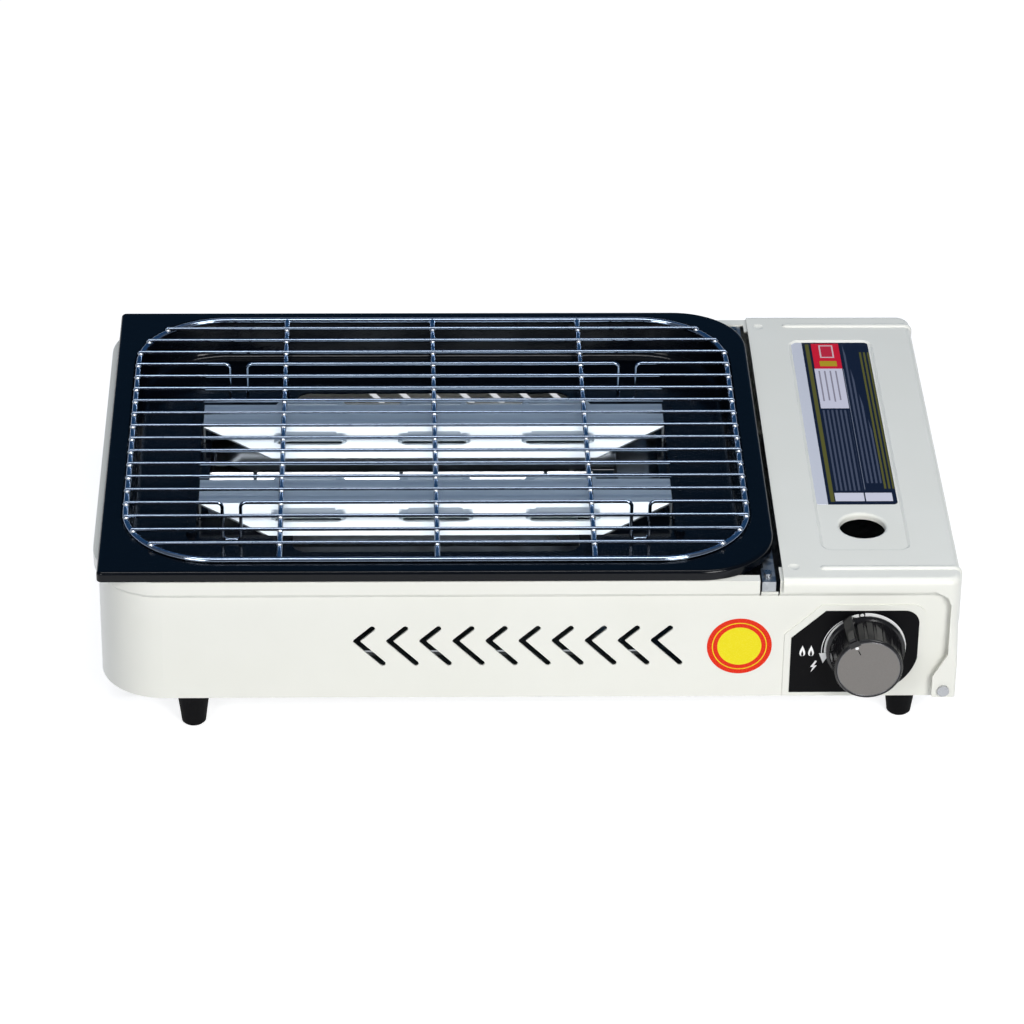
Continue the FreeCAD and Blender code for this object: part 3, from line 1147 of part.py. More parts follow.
def make_pan():
    """Bright pan with a trough under each burner, slits across it, and its ends folded down as legs."""
    upper = [(s * y, z) for s, y, z in [(-1, y, z) for y, z in reversed(PAN_PROFILE)]
             + [(1, y, z) for y, z in PAN_PROFILE[1:]]]
    lower = [(y, z - SHEET) for y, z in reversed(upper)]
    section = Part.makePolygon([Vector(PAN_X0, MID_Y + y, z) for y, z in upper + lower + upper[:1]])
    sheet = Part.Face(section).extrude(Vector(PAN_X1 - PAN_X0, 0, 0))
    half = PAN_LEG_D / 2
    legs = []
    for x in (PAN_X0, PAN_X1 - SHEET):
        legs.append(box(x, MID_Y - half, BASE_TOP, x + SHEET, MID_Y + half, SHELF_Z - SHEET / 2))
        legs.append(box(x, MID_Y - half, BASE_TOP, x + SHEET, MID_Y - half + PAN_LEG_FOOT, BASE_TOP + SHEET))
    ear = box(PAN_X1 - SHEET, ELECTRODE_Y - 6, SHELF_Z - SHEET, PAN_X1, ELECTRODE_Y + 6, ELECTRODE_Z + 6)
    burner_room = [rod((PAN_X1 - 3, y, BURNER_Z), (PAN_X1 + 1, y, BURNER_Z), BURNER_R + 0.5) for y in BURNER_Y]
    tails = [box(PAN_X0 - 1, y - 12, BURNER_Z - 5, BURNER_X0 + 2, y + 12, BURNER_Z + 9) for y in BURNER_Y]
    hole = rod((PAN_X1 - 3, ELECTRODE_Y, ELECTRODE_Z), (PAN_X1 + 3, ELECTRODE_Y, ELECTRODE_Z), INSULATOR_R + RUN_GAP)
    first, last = PAN_X0 + PAN_SLIT_LEFT, PAN_X1 - PAN_SLIT_RIGHT
    w, reach = PAN_SLIT_W / 2, PAN_SLIT_L / 2
    front, rear = PAN_HUMP_SLIT
    slits = []
    for i in range(PAN_SLIT_COUNT):
        x = first + (last - first) * i / (PAN_SLIT_COUNT - 1)
        slits.append(box(x - w, MID_Y + front, HUMP_Z - 2 * SHEET, x + w, MID_Y + rear, HUMP_Z + SHEET))
        for y in (MID_Y - PAN_SLIT_ROW, MID_Y + PAN_SLIT_ROW):
            slits.append(box(x - w, y - reach, SHELF_Z - 2 * SHEET, x + w, y + reach, SHELF_Z + SHEET))
    return fuse(sheet, *legs, ear).cut(burner_room + tails + [hole] + slits)


def make_control_plate():
    hole = rod((KNOB_X, -3, KNOB_Z), (KNOB_X, 3, KNOB_Z), SPINDLE_R + 1.5)
    plate = Part.Face(plate_outline(0.0, -PAD_OUT - PLATE_T)).extrude(Vector(0, PLATE_T, 0))
    return plate.cut(hole)


save("body_shell", make_body_shell())
save("base_plate", make_base_plate())
save("feet", *[make_foot(x, y) for x, y in FOOT_PLACES])
save("foot_screws", *[make_foot_screw(x, y) for x, y in FOOT_PLACES])
save("foot_nuts", *[make_foot_nut(x, y) for x, y in FOOT_PLACES])
save("partition_wall", make_partition())
save("partition_screws", *[make_partition_screw(x, y) for x, y in PARTITION_SCREWS])
save("control_plate", make_control_plate())
save("drip_tray", make_drip_tray())
save("heat_plate_front", heat_plate(BURNER_Y[0]))
save("heat_plate_rear", heat_plate(BURNER_Y[1]))
save("grill_ring", make_ring())
save("grill_long_wires", *[make_long_wire(MID_X + k * LONG_PITCH) for k in (-1, 0, 1)])
legs = (LEG_WIRE, CROSS_COUNT + 1 - LEG_WIRE)
save("grill_cross_wires", *[make_cross_wire(i + 1) for i in range(CROSS_COUNT) if i + 1 not in legs])
save("grill_leg_wires", *[make_leg_wire(i) for i in legs])
save("bay_cover", make_lid())
save("hinge_rivets", make_rivet(-1), make_rivet(1))
save("control_knob", make_knob())
save("knob_face", make_knob_face())
save("valve_spindle", spindle_bar(0.0, KNOB_FRONT - SPINDLE_TIP, REG_Y0 + SPINDLE_BACK - 4))
save("regulator_bracket", make_regulator_bracket())
save("bracket_screws", make_bracket_screw(-1), make_bracket_screw(1))
save("regulator_body", make_regulator())
save("regulator_cap", make_cap())
save("regulator_cap_screws", *[cap_screw(a, 0) for a in CAP_SCREW_ANGLES])
save("cartridge_plate", make_cartridge_plate())
save("cartridge_socket", make_socket())
save("socket_seal", make_seal())
save("socket_magnets", make_magnet(-1), make_magnet(1))
save("cartridge_cradle", make_cradle())
save("piezo_igniter", make_piezo())
save("ignition_lead", make_lead())
save("electrode_insulator", make_insulator())
save("electrode_pin", make_electrode_pin())
save("gas_pipe", make_gas_pipe())
save("injector_elbow", make_elbow())
save("gas_injector", make_injector())
save("mixing_tube", make_mixing_tube())
save("burner_manifold", make_manifold())
save("front_burner", make_burner(BURNER_Y[0]))
save("rear_burner", make_burner(BURNER_Y[1]))
save("burner_saddles", *[make_saddle(x, y) for x in (PAN_X0 + 24, PAN_X1 - 12) for y in BURNER_Y])
save("manifold_bracket", make_manifold_bracket())
save("burner_pan", make_pan())
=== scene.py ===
import math

import bpy
import numpy as np
from mathutils import Matrix, Vector


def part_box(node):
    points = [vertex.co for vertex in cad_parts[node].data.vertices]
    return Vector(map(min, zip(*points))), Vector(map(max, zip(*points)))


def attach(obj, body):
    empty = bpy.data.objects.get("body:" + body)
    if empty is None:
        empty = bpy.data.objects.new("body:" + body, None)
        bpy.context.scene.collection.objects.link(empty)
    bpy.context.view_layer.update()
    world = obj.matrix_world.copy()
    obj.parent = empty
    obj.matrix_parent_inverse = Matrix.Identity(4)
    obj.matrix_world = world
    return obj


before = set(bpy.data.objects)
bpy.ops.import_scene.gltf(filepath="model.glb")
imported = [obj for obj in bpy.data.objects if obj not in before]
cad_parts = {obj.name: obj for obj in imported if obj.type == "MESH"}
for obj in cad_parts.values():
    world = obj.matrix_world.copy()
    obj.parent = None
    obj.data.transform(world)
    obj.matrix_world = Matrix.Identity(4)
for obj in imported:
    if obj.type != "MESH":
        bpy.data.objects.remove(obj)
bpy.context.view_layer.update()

# Camera: a long lens a little over two metres away, above the front and slightly to the left, looking down.
# Its place is measured from the front left corner of the body's straight walls, on the table.
MM = 0.001
BELT_OUT = 2.5 * MM
shell_low, shell_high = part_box("body_shell")
CORNER = Vector((shell_low.x + BELT_OUT, shell_low.y + BELT_OUT, 0.0))
CAMERA_PLACE = CORNER + Vector((153.292, -2054.174, 1374.199)) * MM
CAMERA_YAW = math.radians(-1.785)
CAMERA_TILT = math.radians(58.911)
CAMERA_ROLL = math.radians(0.755)

lens = bpy.data.cameras.new("camera")
lens.sensor_width = 36.0
lens.lens = 159.475
lens.shift_x = 0.008422
lens.shift_y = 0.003911
lens.clip_end = 20.0
camera = bpy.data.objects.new("camera", lens)
bpy.context.scene.collection.objects.link(camera)
aim = Matrix.Rotation(CAMERA_YAW, 4, "Z") @ Matrix.Rotation(CAMERA_TILT, 4, "X")
camera.matrix_world = Matrix.Translation(CAMERA_PLACE) @ aim @ Matrix.Rotation(CAMERA_ROLL, 4, "Z")
bpy.context.scene.camera = camera
bpy.context.scene.view_settings.view_transform = "Standard"


# White studio: a pale floor with a faint shadow, partly cast and partly painted, and a world that is white to
# the camera.
# Mirrored light finds the floor and the horizon white too. Higher up the room is a dim blue one, lit by two
# softboxes in front and a long one overhead.
class Shade:
    """A socket of a node tree: operators on it add Math nodes, and node() adds a node of any other kind."""

    def __init__(self, tree, socket=None):
        self.tree = tree
        self.socket = socket

    def node(self, kind, settings=None, inputs=None, output=0):
        """Add a node, its settings first and then its inputs by name or number, and return one output."""
        added = self.tree.nodes.new("ShaderNode" + kind)
        for name, value in (settings or {}).items():
            setattr(added, name, value)
        for key, value in (inputs or {}).items():
            if isinstance(value, Shade):
                self.tree.links.new(value.socket, added.inputs[key])
            else:
                added.inputs[key].default_value = value
        return Shade(self.tree, added.outputs[output])

    def surface(self, kind):
        """End the tree: link this shader to an output node."""
        ended = self.tree.nodes.new("ShaderNode" + kind)
        self.tree.links.new(self.socket, ended.inputs["Surface"])

    def math(self, operation, *values):
        return self.node("Math", {"operation": operation}, dict(enumerate(values)))

    def __add__(self, other):
        return self.math("ADD", self, other)

    __radd__ = __add__

    def __sub__(self, other):
        return self.math("SUBTRACT", self, other)

    def __rsub__(self, other):
        return self.math("SUBTRACT", other, self)

    def __mul__(self, other):
        return self.math("MULTIPLY", self, other)

    __rmul__ = __mul__

    def __truediv__(self, other):
        return self.math("DIVIDE", self, other)

    def __pow__(self, other):
        return self.math("POWER", self, other)

    def __gt__(self, other):
        return self.math("GREATER_THAN", self, other)

    def __lt__(self, other):
        return self.math("LESS_THAN", self, other)


def blend(factor, first, second):
    """Colour that goes from first to second as the factor goes from 0 to 1."""
    return factor.node("Mix", {"data_type": "RGBA"}, {0: factor, 6: first, 7: second}, 2)


def ramp(value, low, high, start=0.0, end=1.0):
    """Smooth step: start up to value low, end from value high."""
    limits = {"Value": value, "From Min": low, "From Max": high, "To Min": start, "To Max": end}
    return value.node("MapRange", {"interpolation_type": "SMOOTHSTEP"}, limits)


def along(vector, axis):
    """One coordinate of a vector: 0 is X, 1 is Y and 2 is Z."""
    return vector.node("SeparateXYZ", inputs={0: vector}, output=axis)


CEILING = (0.26, 0.29, 0.34, 1.0)
BACK_BAND = (0.030, 0.088, 0.180, 1.0)
FRONT_WALLS = (0.13, 0.14, 0.16, 1.0)
WHITE = (1.0, 1.0, 1.0, 1.0)
FLOOR_SIDE = 14.0
FLOOR_TONE = (0.56, 0.56, 0.56, 1.0)
FLOOR_GLOW = 0.75
# Where the floor's painted shadow lies, in metres from the body's walls, and how much glow it keeps behind.
UNDER_FRONT = (0.034, 0.046)
UNDER_SIDE, UNDER_BACK = 0.06, 0.05
SHADE_BEHIND, SHADE_GLOW = (0.04, 0.16), 0.45
HORIZON = (0.02, 0.08)


def larger(first, second):
    return first.math("MAXIMUM", first, second)


def backdrop_rays(start):
    """Two masks: one for rays that have to find the white backdrop, which are the camera's and those that the
    object mirrors or lets through, and one for the camera's alone."""
    camera_ray, mirrored, let_through = [start.node("LightPath", output=f"Is {kind} Ray")
                                         for kind in ("Camera", "Glossy", "Transmission")]
    return larger(camera_ray, larger(mirrored, let_through)), camera_ray


world = bpy.data.worlds.new("studio")
world.use_nodes = True
world.node_tree.nodes.clear()
direction = Shade(world.node_tree).node("TexCoord", output="Generated")
toward_back = ramp(along(direction, 1), -0.2, 0.45)
toward_ceiling = ramp(along(direction, 2), 0.80, 0.98)
surroundings = blend(toward_ceiling, blend(toward_back, FRONT_WALLS, BACK_BAND), CEILING)
seen, by_camera = backdrop_rays(direction)
backdrop = larger(by_camera, seen * ramp(along(direction, 2), *HORIZON, 1.0, 0.0))
direction.node("Background", inputs={"Color": blend(backdrop, surroundings, WHITE)}).surface("OutputWorld")
bpy.context.scene.world = world

floor_finish = bpy.data.materials.new("studio_floor")
floor_finish.use_nodes = True
floor_finish.node_tree.nodes.clear()
floor_place = Shade(floor_finish.node_tree).node("TexCoord", output="Object")
floor_x, floor_y = along(floor_place, 0), along(floor_place, 1)
# Painted shadow: the floor's glow is taken away under the body and lowered just behind it.
beside = ramp(floor_x.math("ABSOLUTE", floor_x), shell_high.x - UNDER_SIDE, shell_high.x)
ahead = ramp(floor_y, shell_low.y + UNDER_FRONT[0], shell_low.y + UNDER_FRONT[1], 1.0, 0.0)
behind = ramp(floor_y, shell_high.y - UNDER_BACK, shell_high.y, 0.0, SHADE_GLOW)
behind = behind + ramp(floor_y, shell_high.y + SHADE_BEHIND[0], shell_high.y + SHADE_BEHIND[1],
                       0.0, 1.0 - SHADE_GLOW)
glow_outside_painted_shadow = larger(beside, larger(ahead, behind))
paper = floor_place.node("BsdfDiffuse", inputs={"Color": FLOOR_TONE})
glow_strength = backdrop_rays(floor_place)[0] * glow_outside_painted_shadow * FLOOR_GLOW
glow = floor_place.node("Emission", inputs={"Strength": glow_strength})
paper.node("AddShader", inputs={0: paper, 1: glow}).surface("OutputMaterial")

floor_mesh = bpy.data.meshes.new("studio_floor")
half = FLOOR_SIDE / 2
floor_corners = [(-half, -half, 0), (half, -half, 0), (half, half, 0), (-half, half, 0)]
floor_mesh.from_pydata(floor_corners, [], [(0, 1, 2, 3)])
floor_mesh.materials.append(floor_finish)
floor = bpy.data.objects.new("studio_floor", floor_mesh)
bpy.context.scene.collection.objects.link(floor)


def lamp(name, place, aimed_at, wide, tall, watts, tint=(1.0, 1.0, 1.0)):
    """Soft rectangular lamp, turned to face a point."""
    light = bpy.data.lights.new(name, "AREA")
    light.shape = "RECTANGLE"
    light.size = wide
    light.size_y = tall
    light.energy = watts
    light.color = tint
    holder = bpy.data.objects.new(name, light)
    holder.location = place
    holder.rotation_euler = (Vector(aimed_at) - Vector(place)).to_track_quat("-Z", "Y").to_euler()
    bpy.context.scene.collection.objects.link(holder)


lamp("left_softbox", (-1.0, -1.85, 1.15), (0, 0, 0.05), 0.8, 0.8, 14)
lamp("right_softbox", (0.95, -1.9, 1.2), (0, 0, 0.05), 0.8, 0.8, 30.5, (1.0, 0.995, 0.97))
lamp("overhead_softbox", (0, -0.22, 2.2), (0, 0, 0.08), 1.6, 0.32, 15)


# Body and bay cover: pressed steel sheet under white enamel.
# The gloss coat is sprayed and baked, and faintly pebbled.
def noise(place, size, detail=2.0):
    """Noise from 0 to 1 whose lumps are about size metres across."""
    return place.node("TexNoise", inputs={"Vector": place, "Scale": 1 / size, "Detail": detail})


def bump(height, depth):
    """Normal of a surface that a height from 0 to 1 raises by up to depth metres."""
    return height.node("Bump", inputs={"Height": height, "Distance": depth}, output="Normal")


def material(name, constants, varying):
    """Principled material: constants go straight to its sockets, varying(place) gives the others."""
    made = bpy.data.materials.new(name)
    made.use_nodes = True
    made.node_tree.nodes.clear()
    place = Shade(made.node_tree).node("TexCoord", output="Object")
    place.node("BsdfPrincipled", inputs={**constants, **varying(place)}).surface("OutputMaterial")
    return made


def dress(finish, *names):
    """Give CAD nodes their material."""
    for name in names:
        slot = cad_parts[name].material_slots[0]
        slot.link = "OBJECT"
        slot.material = finish


def white_coat(place):
    tone = blend(ramp(noise(place, 0.06), 0.3, 0.7), (0.865, 0.865, 0.80, 1.0), (0.885, 0.885, 0.825, 1.0))
    pebbles = noise(place, 0.0016, 1.0)
    return {"Base Color": tone, "Roughness": 0.26 + 0.1 * noise(place, 0.01),
            "Normal": bump(pebbles, 0.005 * MM)}


white_enamel = material("white_enamel", {"Coat Weight": 0.15, "Coat Roughness": 0.1}, white_coat)
dress(white_enamel, "body_shell", "bay_cover")


# Drip tray: deep drawn steel under black enamel, which is glass fused on it.
# The coat is deep and glossy with the ripple of dipping, and small pits in it catch the light as specks.
def black_coat(place):
    ripple = noise(place, 0.006) + 0.35 * noise(place, 0.0011, 3.0)
    tone = blend(noise(place, 0.0008), (0.0006, 0.0011, 0.0022, 1.0), (0.002, 0.0035, 0.007, 1.0))
    return {"Base Color": tone, "Roughness": 0.06 + 0.14 * noise(place, 0.015),
            "Normal": bump(ripple, 0.12 * MM)}


black_enamel = material("black_enamel", {"Specular IOR Level": 0.22}, black_coat)
dress(black_enamel, "drip_tray")


# Heat plates: stainless sheet folded into a roof over each burner.
# It was rolled so that fine lines run lengthwise.
def lines(place, across, along_x, detail=3.0):
    """Noise drawn out into lines along X, across metres wide and along_x metres long."""
    stretched = place.node("Mapping", inputs={0: place, "Scale": (across / along_x, 1.0, 1.0)})
    return noise(stretched, across, detail)


def rolled_steel(place):
    rolling = lines(place, 0.0005, 0.06)
    wide_rolling = lines(place, 0.006, 0.12, 1.0)
    tone = blend(rolling, (0.70, 0.76, 0.80, 1.0), (0.84, 0.90, 0.94, 1.0))
    return {"Base Color": tone, "Roughness": 0.43 + 0.08 * rolling + 0.08 * wide_rolling,
            "Normal": bump(rolling + 2.0 * wide_rolling, 0.008 * MM)}


stainless = material("stainless", {"Metallic": 1.0}, rolled_steel)
dress(stainless, "heat_plate_front", "heat_plate_rear")


# Louvre hoods: each skirt's louvres are drawn up from just under the fold, so a thin raised hood
# covers the louvre from there to its lip.
HEAT_TOP_W, HEAT_OUT, HEAT_H = 25.2 * MM, 16.9 * MM, 10.7 * MM
LOUVRE_PITCH = 70.0 * MM
HOOD_START, HOOD_END = 3.2 * MM, 10.3 * MM
HOOD_LIP = 2.75 * MM
HOOD_THICK = 0.3 * MM
HOOD_TOP_W, HOOD_LIP_W, HOOD_FLARE = 29.0 * MM, 33.0 * MM, 1.6 * MM


def piece(name, points, faces, finish, slot, body):
    """New mesh object of the part, with its material, riding on a body. The slot argument is not used."""
    mesh = bpy.data.meshes.new(name)
    mesh.from_pydata(np.asarray(points).tolist(), [], faces)
    mesh.materials.append(finish)
    made = bpy.data.objects.new(name, mesh)
    bpy.context.scene.collection.objects.link(made)
    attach(made, body)
    return made


def joined(parts):
    """Points and faces of several meshes as one."""
    starts = np.cumsum([0] + [len(points) for points, _ in parts])
    faces = [tuple(int(i + start) for i in face) for start, (_, part) in zip(starts, parts) for face in part]
    return np.vstack([points for points, _ in parts]), faces


def hood(fold, side):
    """Points and faces of one hood: a sheet that rises from the skirt near the fold to its lip.
    Its points are (along the fold, down the skirt, out of the skirt) before they are turned onto the skirt."""
    top, lip = HOOD_TOP_W / 2, HOOD_LIP_W / 2
    upper = np.array([(-top - HOOD_THICK, HOOD_START, HOOD_THICK), (-top, HOOD_START, HOOD_THICK),
                      (top, HOOD_START, HOOD_THICK), (top + HOOD_THICK, HOOD_START, HOOD_THICK),
                      (-lip - HOOD_FLARE, HOOD_END, HOOD_THICK), (-lip, HOOD_END, HOOD_LIP),
                      (lip, HOOD_END, HOOD_LIP), (lip + HOOD_FLARE, HOOD_END, HOOD_THICK)])
    flat = np.vstack([upper, upper - [0, 0, HOOD_THICK]])
    slope = math.atan2(HEAT_H, HEAT_OUT)
    y = side * (flat[:, 1] * math.cos(slope) + flat[:, 2] * math.sin(slope))
    z = flat[:, 2] * math.cos(slope) - flat[:, 1] * math.sin(slope)
    points = np.column_stack([flat[:, 0], y, z]) + np.asarray(fold)
    faces = [(0, 4, 5, 1), (1, 5, 6, 2), (2, 6, 7, 3), (8, 9, 13, 12), (9, 10, 14, 13), (10, 11, 15, 14),
             (0, 1, 9, 8), (1, 2, 10, 9), (2, 3, 11, 10), (5, 4, 12, 13), (6, 5, 13, 14), (7, 6, 14, 15),
             (4, 0, 8, 12), (3, 7, 15, 11)]
    return points, faces if side < 0 else [face[::-1] for face in faces]


for name in ("heat_plate_front", "heat_plate_rear"):
    heat_low, heat_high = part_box(name)
    middle = (heat_low + heat_high) / 2
    folds = [((middle.x + step * LOUVRE_PITCH, middle.y + side * HEAT_TOP_W / 2, heat_high.z), side)
             for side in (-1, 1) for step in (-1, 0, 1)]
    points, faces = joined([hood(fold, side) for fold, side in folds])
    piece(name.replace("heat_plate", "louvre_hoods"), points, faces, stainless, "stainless", "heat_plates")


# Wire grill: drawn steel wire, welded where the wires cross and bright chromed as one piece.
# Each weld leaves a flattened bead that stands a little out of both wires. The beads get a far brighter chrome
# than the wires: a painted glint.
RING_WIRE_R = 1.8 * MM
CROSS_COUNT = 18
LONG_PITCH = 84.6 * MM
RING_R = 50.0 * MM
BEAD_R, BEAD_H = 1.9 * MM, 0.95 * MM
BEAD_POLE = 0.25
BEAD_SINK = 0.1 * MM


def chrome(place):
    haze = noise(place, 0.004, 3.0)
    tone = blend(haze, (0.30, 0.38, 0.49, 1.0), (0.43, 0.50, 0.62, 1.0))
    return {"Base Color": tone, "Roughness": 0.05 + 0.08 * haze,
            "Normal": bump(noise(place, 0.0007), 0.005 * MM)}


# Painted glint: the wires' chrome made much brighter for the weld beads.
def chrome_painted_glint(place):
    haze = noise(place, 0.001, 3.0)
    tone = blend(haze, (0.78, 0.82, 0.88, 1.0), (0.90, 0.92, 0.96, 1.0))
    return {"Base Color": tone, "Roughness": 0.2 + 0.15 * haze, "Normal": bump(haze, 0.03 * MM)}


def bead(centre, around=12, rows=5):
    """Points and faces of a flattened ball: (R sin v cos u, R sin v sin u, H cos v) round its centre."""
    v, u = np.meshgrid(np.linspace(BEAD_POLE, math.pi - BEAD_POLE, rows),
                       np.linspace(0, 2 * math.pi, around, endpoint=False), indexing="ij")
    points = np.stack([BEAD_R * np.sin(v) * np.cos(u), BEAD_R * np.sin(v) * np.sin(u), BEAD_H * np.cos(v)], -1)
    index = np.arange(rows * around).reshape(rows, around)
    after = np.roll(index, -1, 1)
    sides = np.stack([index[:-1], index[1:], after[1:], after[:-1]], -1).reshape(-1, 4)
    caps = [tuple(index[0].tolist()), tuple(index[-1, ::-1].tolist())]
    return points.reshape(-1, 3) + np.asarray(centre), [tuple(face) for face in sides.tolist()] + caps


chrome_wire = material("chrome_wire", {"Metallic": 1.0}, chrome)
weld_chrome_painted_glint = material("weld_chrome_painted_glint", {"Metallic": 1.0}, chrome_painted_glint)
dress(chrome_wire, "grill_ring", "grill_long_wires", "grill_cross_wires", "grill_leg_wires")

ring_low, ring_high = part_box("grill_ring")
ring_middle = (ring_low + ring_high) / 2
ring_half_w = (ring_high.x - ring_low.x) / 2 - RING_WIRE_R
ring_half_d = (ring_high.y - ring_low.y) / 2 - RING_WIRE_R
cross_y = np.linspace(-ring_half_d, ring_half_d, CROSS_COUNT + 2)[1:-1]
into_corner = np.clip(np.abs(cross_y) - (ring_half_d - RING_R), 0, None)
cross_end = ring_half_w - RING_R + np.sqrt(RING_R ** 2 - into_corner ** 2)
long_x = np.array([-1, 0, 1]) * LONG_PITCH
weld_level = ring_high.z - BEAD_SINK
welds = [(x, y, weld_level) for y in cross_y for x in long_x]
welds += [(side * end, y, weld_level) for y, end in zip(cross_y, cross_end) for side in (-1, 1)]
welds += [(x, side * (ring_half_d - RING_WIRE_R), ring_middle.z) for x in long_x for side in (-1, 1)]
points, faces = joined([bead((ring_middle.x + x, ring_middle.y + y, z)) for x, y, z in welds])
beads = piece("grill_welds", points, faces, weld_chrome_painted_glint, "chrome_wire", "grill")
beads.data.shade_smooth()


# Bare sheet inside the body: zinc coated base, partition, cartridge plate, cradle and brackets.
# The zinc froze in flakes a few millimetres wide. Its tone is kept dark: painted shade of the inside of the
# body.
def spangle_painted_shade(place):
    flakes = place.node("TexVoronoi", inputs={"Vector": place, "Scale": 1 / 0.004}, output="Color")
    shade = along(flakes, 0)
    # Dark tone: painted shade of the inside of the body.
    tone = blend(shade, (0.32, 0.34, 0.36, 1.0), (0.46, 0.48, 0.50, 1.0))
    return {"Base Color": tone, "Roughness": 0.34 + 0.16 * shade,
            "Normal": bump(noise(place, 0.002), 0.02 * MM)}


galvanised = material("galvanised", {"Metallic": 1.0}, spangle_painted_shade)
dress(galvanised, "base_plate", "partition_wall", "cartridge_plate", "cartridge_cradle",
      "regulator_bracket", "manifold_bracket", "burner_saddles")


# Burner tubes, manifold, mixing tube and the pan under them: aluminised steel, satin. Its tone is kept dark and
# bluish, painted shade of the inside of the body, and darker still in random patches.
def satin_aluminised_painted_shade(place):
    darker_patch = ramp(noise(place, 0.03, 3.0), 0.45, 0.75)
    # Dark bluish tone: painted shade of the inside of the body.
    tone = blend(darker_patch, (0.40, 0.44, 0.48, 1.0), (0.27, 0.29, 0.31, 1.0))
    return {"Base Color": tone, "Roughness": 0.38 + 0.12 * darker_patch,
            "Normal": bump(noise(place, 0.0008), 0.01 * MM)}


aluminised = material("aluminised", {"Metallic": 1.0}, satin_aluminised_painted_shade)
dress(aluminised, "front_burner", "rear_burner", "burner_manifold", "mixing_tube", "burner_pan")


# Reflector on the pan's ridge between the burners: a shallow gutter folded from bright aluminised sheet.
# Three narrow slots part it into four lengths.
GUTTER_HALF = 10.0 * MM
GUTTER_RISE = 6.6 * MM
GUTTER_THICK = 0.5 * MM
GUTTER_SLOTS = (25.7 * MM, 108.0 * MM, 189.6 * MM)
SLOT_W = 2.2 * MM
RIDGE_UP = 1.0 * MM


def bright_sheet(place):
    rolling = lines(place, 0.0006, 0.05)
    tone = blend(rolling, (0.78, 0.79, 0.81, 1.0), (0.90, 0.91, 0.92, 1.0))
    return {"Base Color": tone, "Roughness": 0.26 + 0.12 * noise(place, 0.02),
            "Normal": bump(rolling, 0.01 * MM)}


def gutter(x0, x1, middle_y, level):
    """Points and faces of a length of the gutter: a V section run along X."""
    section = [(-GUTTER_HALF, GUTTER_RISE), (0, 0), (GUTTER_HALF, GUTTER_RISE),
               (GUTTER_HALF, GUTTER_RISE - GUTTER_THICK), (0, -GUTTER_THICK),
               (-GUTTER_HALF, GUTTER_RISE - GUTTER_THICK)]
    rows = [[(x, middle_y + y, level + z) for y, z in section] for x in (x0, x1)]
    turn = np.arange(6)
    after = np.roll(turn, -1)
    faces = [tuple(face) for face in np.column_stack([turn, turn + 6, after + 6, after]).tolist()]
    caps = [(0, 1, 4, 5), (1, 2, 3, 4), (11, 10, 7, 6), (10, 9, 8, 7)]
    return np.vstack(rows), faces + caps


pan_low, pan_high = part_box("burner_pan")
burner_low, burner_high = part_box("front_burner")
burner_axis = (burner_low.z + burner_high.z) / 2
cuts = [0.0] + [at + side * SLOT_W / 2 for at in GUTTER_SLOTS for side in (-1, 1)] + [pan_high.x - pan_low.x]
ridge_y = (pan_low.y + pan_high.y) / 2
lengths = [gutter(pan_low.x + start, pan_low.x + end, ridge_y, burner_axis + RIDGE_UP)
           for start, end in zip(cuts[::2], cuts[1::2])]
points, faces = joined(lengths)
bright_aluminised = material("bright_aluminised", {"Metallic": 1.0}, bright_sheet)
piece("centre_reflector", points, faces, bright_aluminised, "bright_aluminised", "chassis")


# Gas train: die cast zinc regulator and elbow, turned brass injector and spindle, drawn aluminium pipe.
def cast_grain(place):
    grain = noise(place, 0.0009, 3.0)
    tone = blend(grain, (0.44, 0.45, 0.47, 1.0), (0.58, 0.59, 0.60, 1.0))
    return {"Base Color": tone, "Roughness": 0.4 + 0.15 * grain, "Normal": bump(grain, 0.03 * MM)}


def turned_brass(place):
    rings = noise(place, 0.0006)
    tone = blend(rings, (0.62, 0.44, 0.17, 1.0), (0.76, 0.57, 0.26, 1.0))
    return {"Base Color": tone, "Roughness": 0.22 + 0.14 * rings, "Normal": bump(rings, 0.01 * MM)}


def drawn_pipe(place):
    haze = noise(place, 0.003, 3.0)
    tone = blend(haze, (0.66, 0.67, 0.69, 1.0), (0.80, 0.81, 0.83, 1.0))
    return {"Base Color": tone, "Roughness": 0.24 + 0.14 * haze,
            "Normal": bump(noise(place, 0.0008), 0.008 * MM)}


cast_zinc = material("cast_zinc", {"Metallic": 1.0}, cast_grain)
brass = material("brass", {"Metallic": 1.0}, turned_brass)
aluminium_pipe = material("aluminium_pipe", {"Metallic": 1.0}, drawn_pipe)
dress(cast_zinc, "regulator_body", "regulator_cap", "injector_elbow", "cartridge_socket")
dress(brass, "gas_injector", "valve_spindle")
dress(aluminium_pipe, "gas_pipe")


# Small parts of the cartridge socket and the igniter: moulded seal, nickel plated magnets, red silicone lead,
# glazed ceramic insulator and a heat resisting pin.
def soft_rubber(dark, pale, size):
    """Moulded rubber between two tones, with a matt grain of that size."""
    def varying(place):
        grain = noise(place, size, 3.0)
        return {"Base Color": blend(grain, dark, pale), "Roughness": 0.62 + 0.2 * grain,
                "Normal": bump(grain, 0.03 * MM)}
    return varying


def nickel(place):
    haze = noise(place, 0.002, 3.0)
    tone = blend(haze, (0.52, 0.52, 0.54, 1.0), (0.68, 0.68, 0.70, 1.0))
    return {"Base Color": tone, "Roughness": 0.14 + 0.12 * haze}


def glaze(place):
    cloud = noise(place, 0.003)
    tone = blend(cloud, (0.84, 0.83, 0.78, 1.0), (0.90, 0.89, 0.86, 1.0))
    return {"Base Color": tone, "Roughness": 0.12 + 0.1 * cloud, "Normal": bump(cloud, 0.02 * MM)}


def scaled_steel(place):
    scale = noise(place, 0.001, 4.0)
    tone = blend(scale, (0.36, 0.35, 0.33, 1.0), (0.55, 0.54, 0.52, 1.0))
    return {"Base Color": tone, "Roughness": 0.32 + 0.2 * scale}


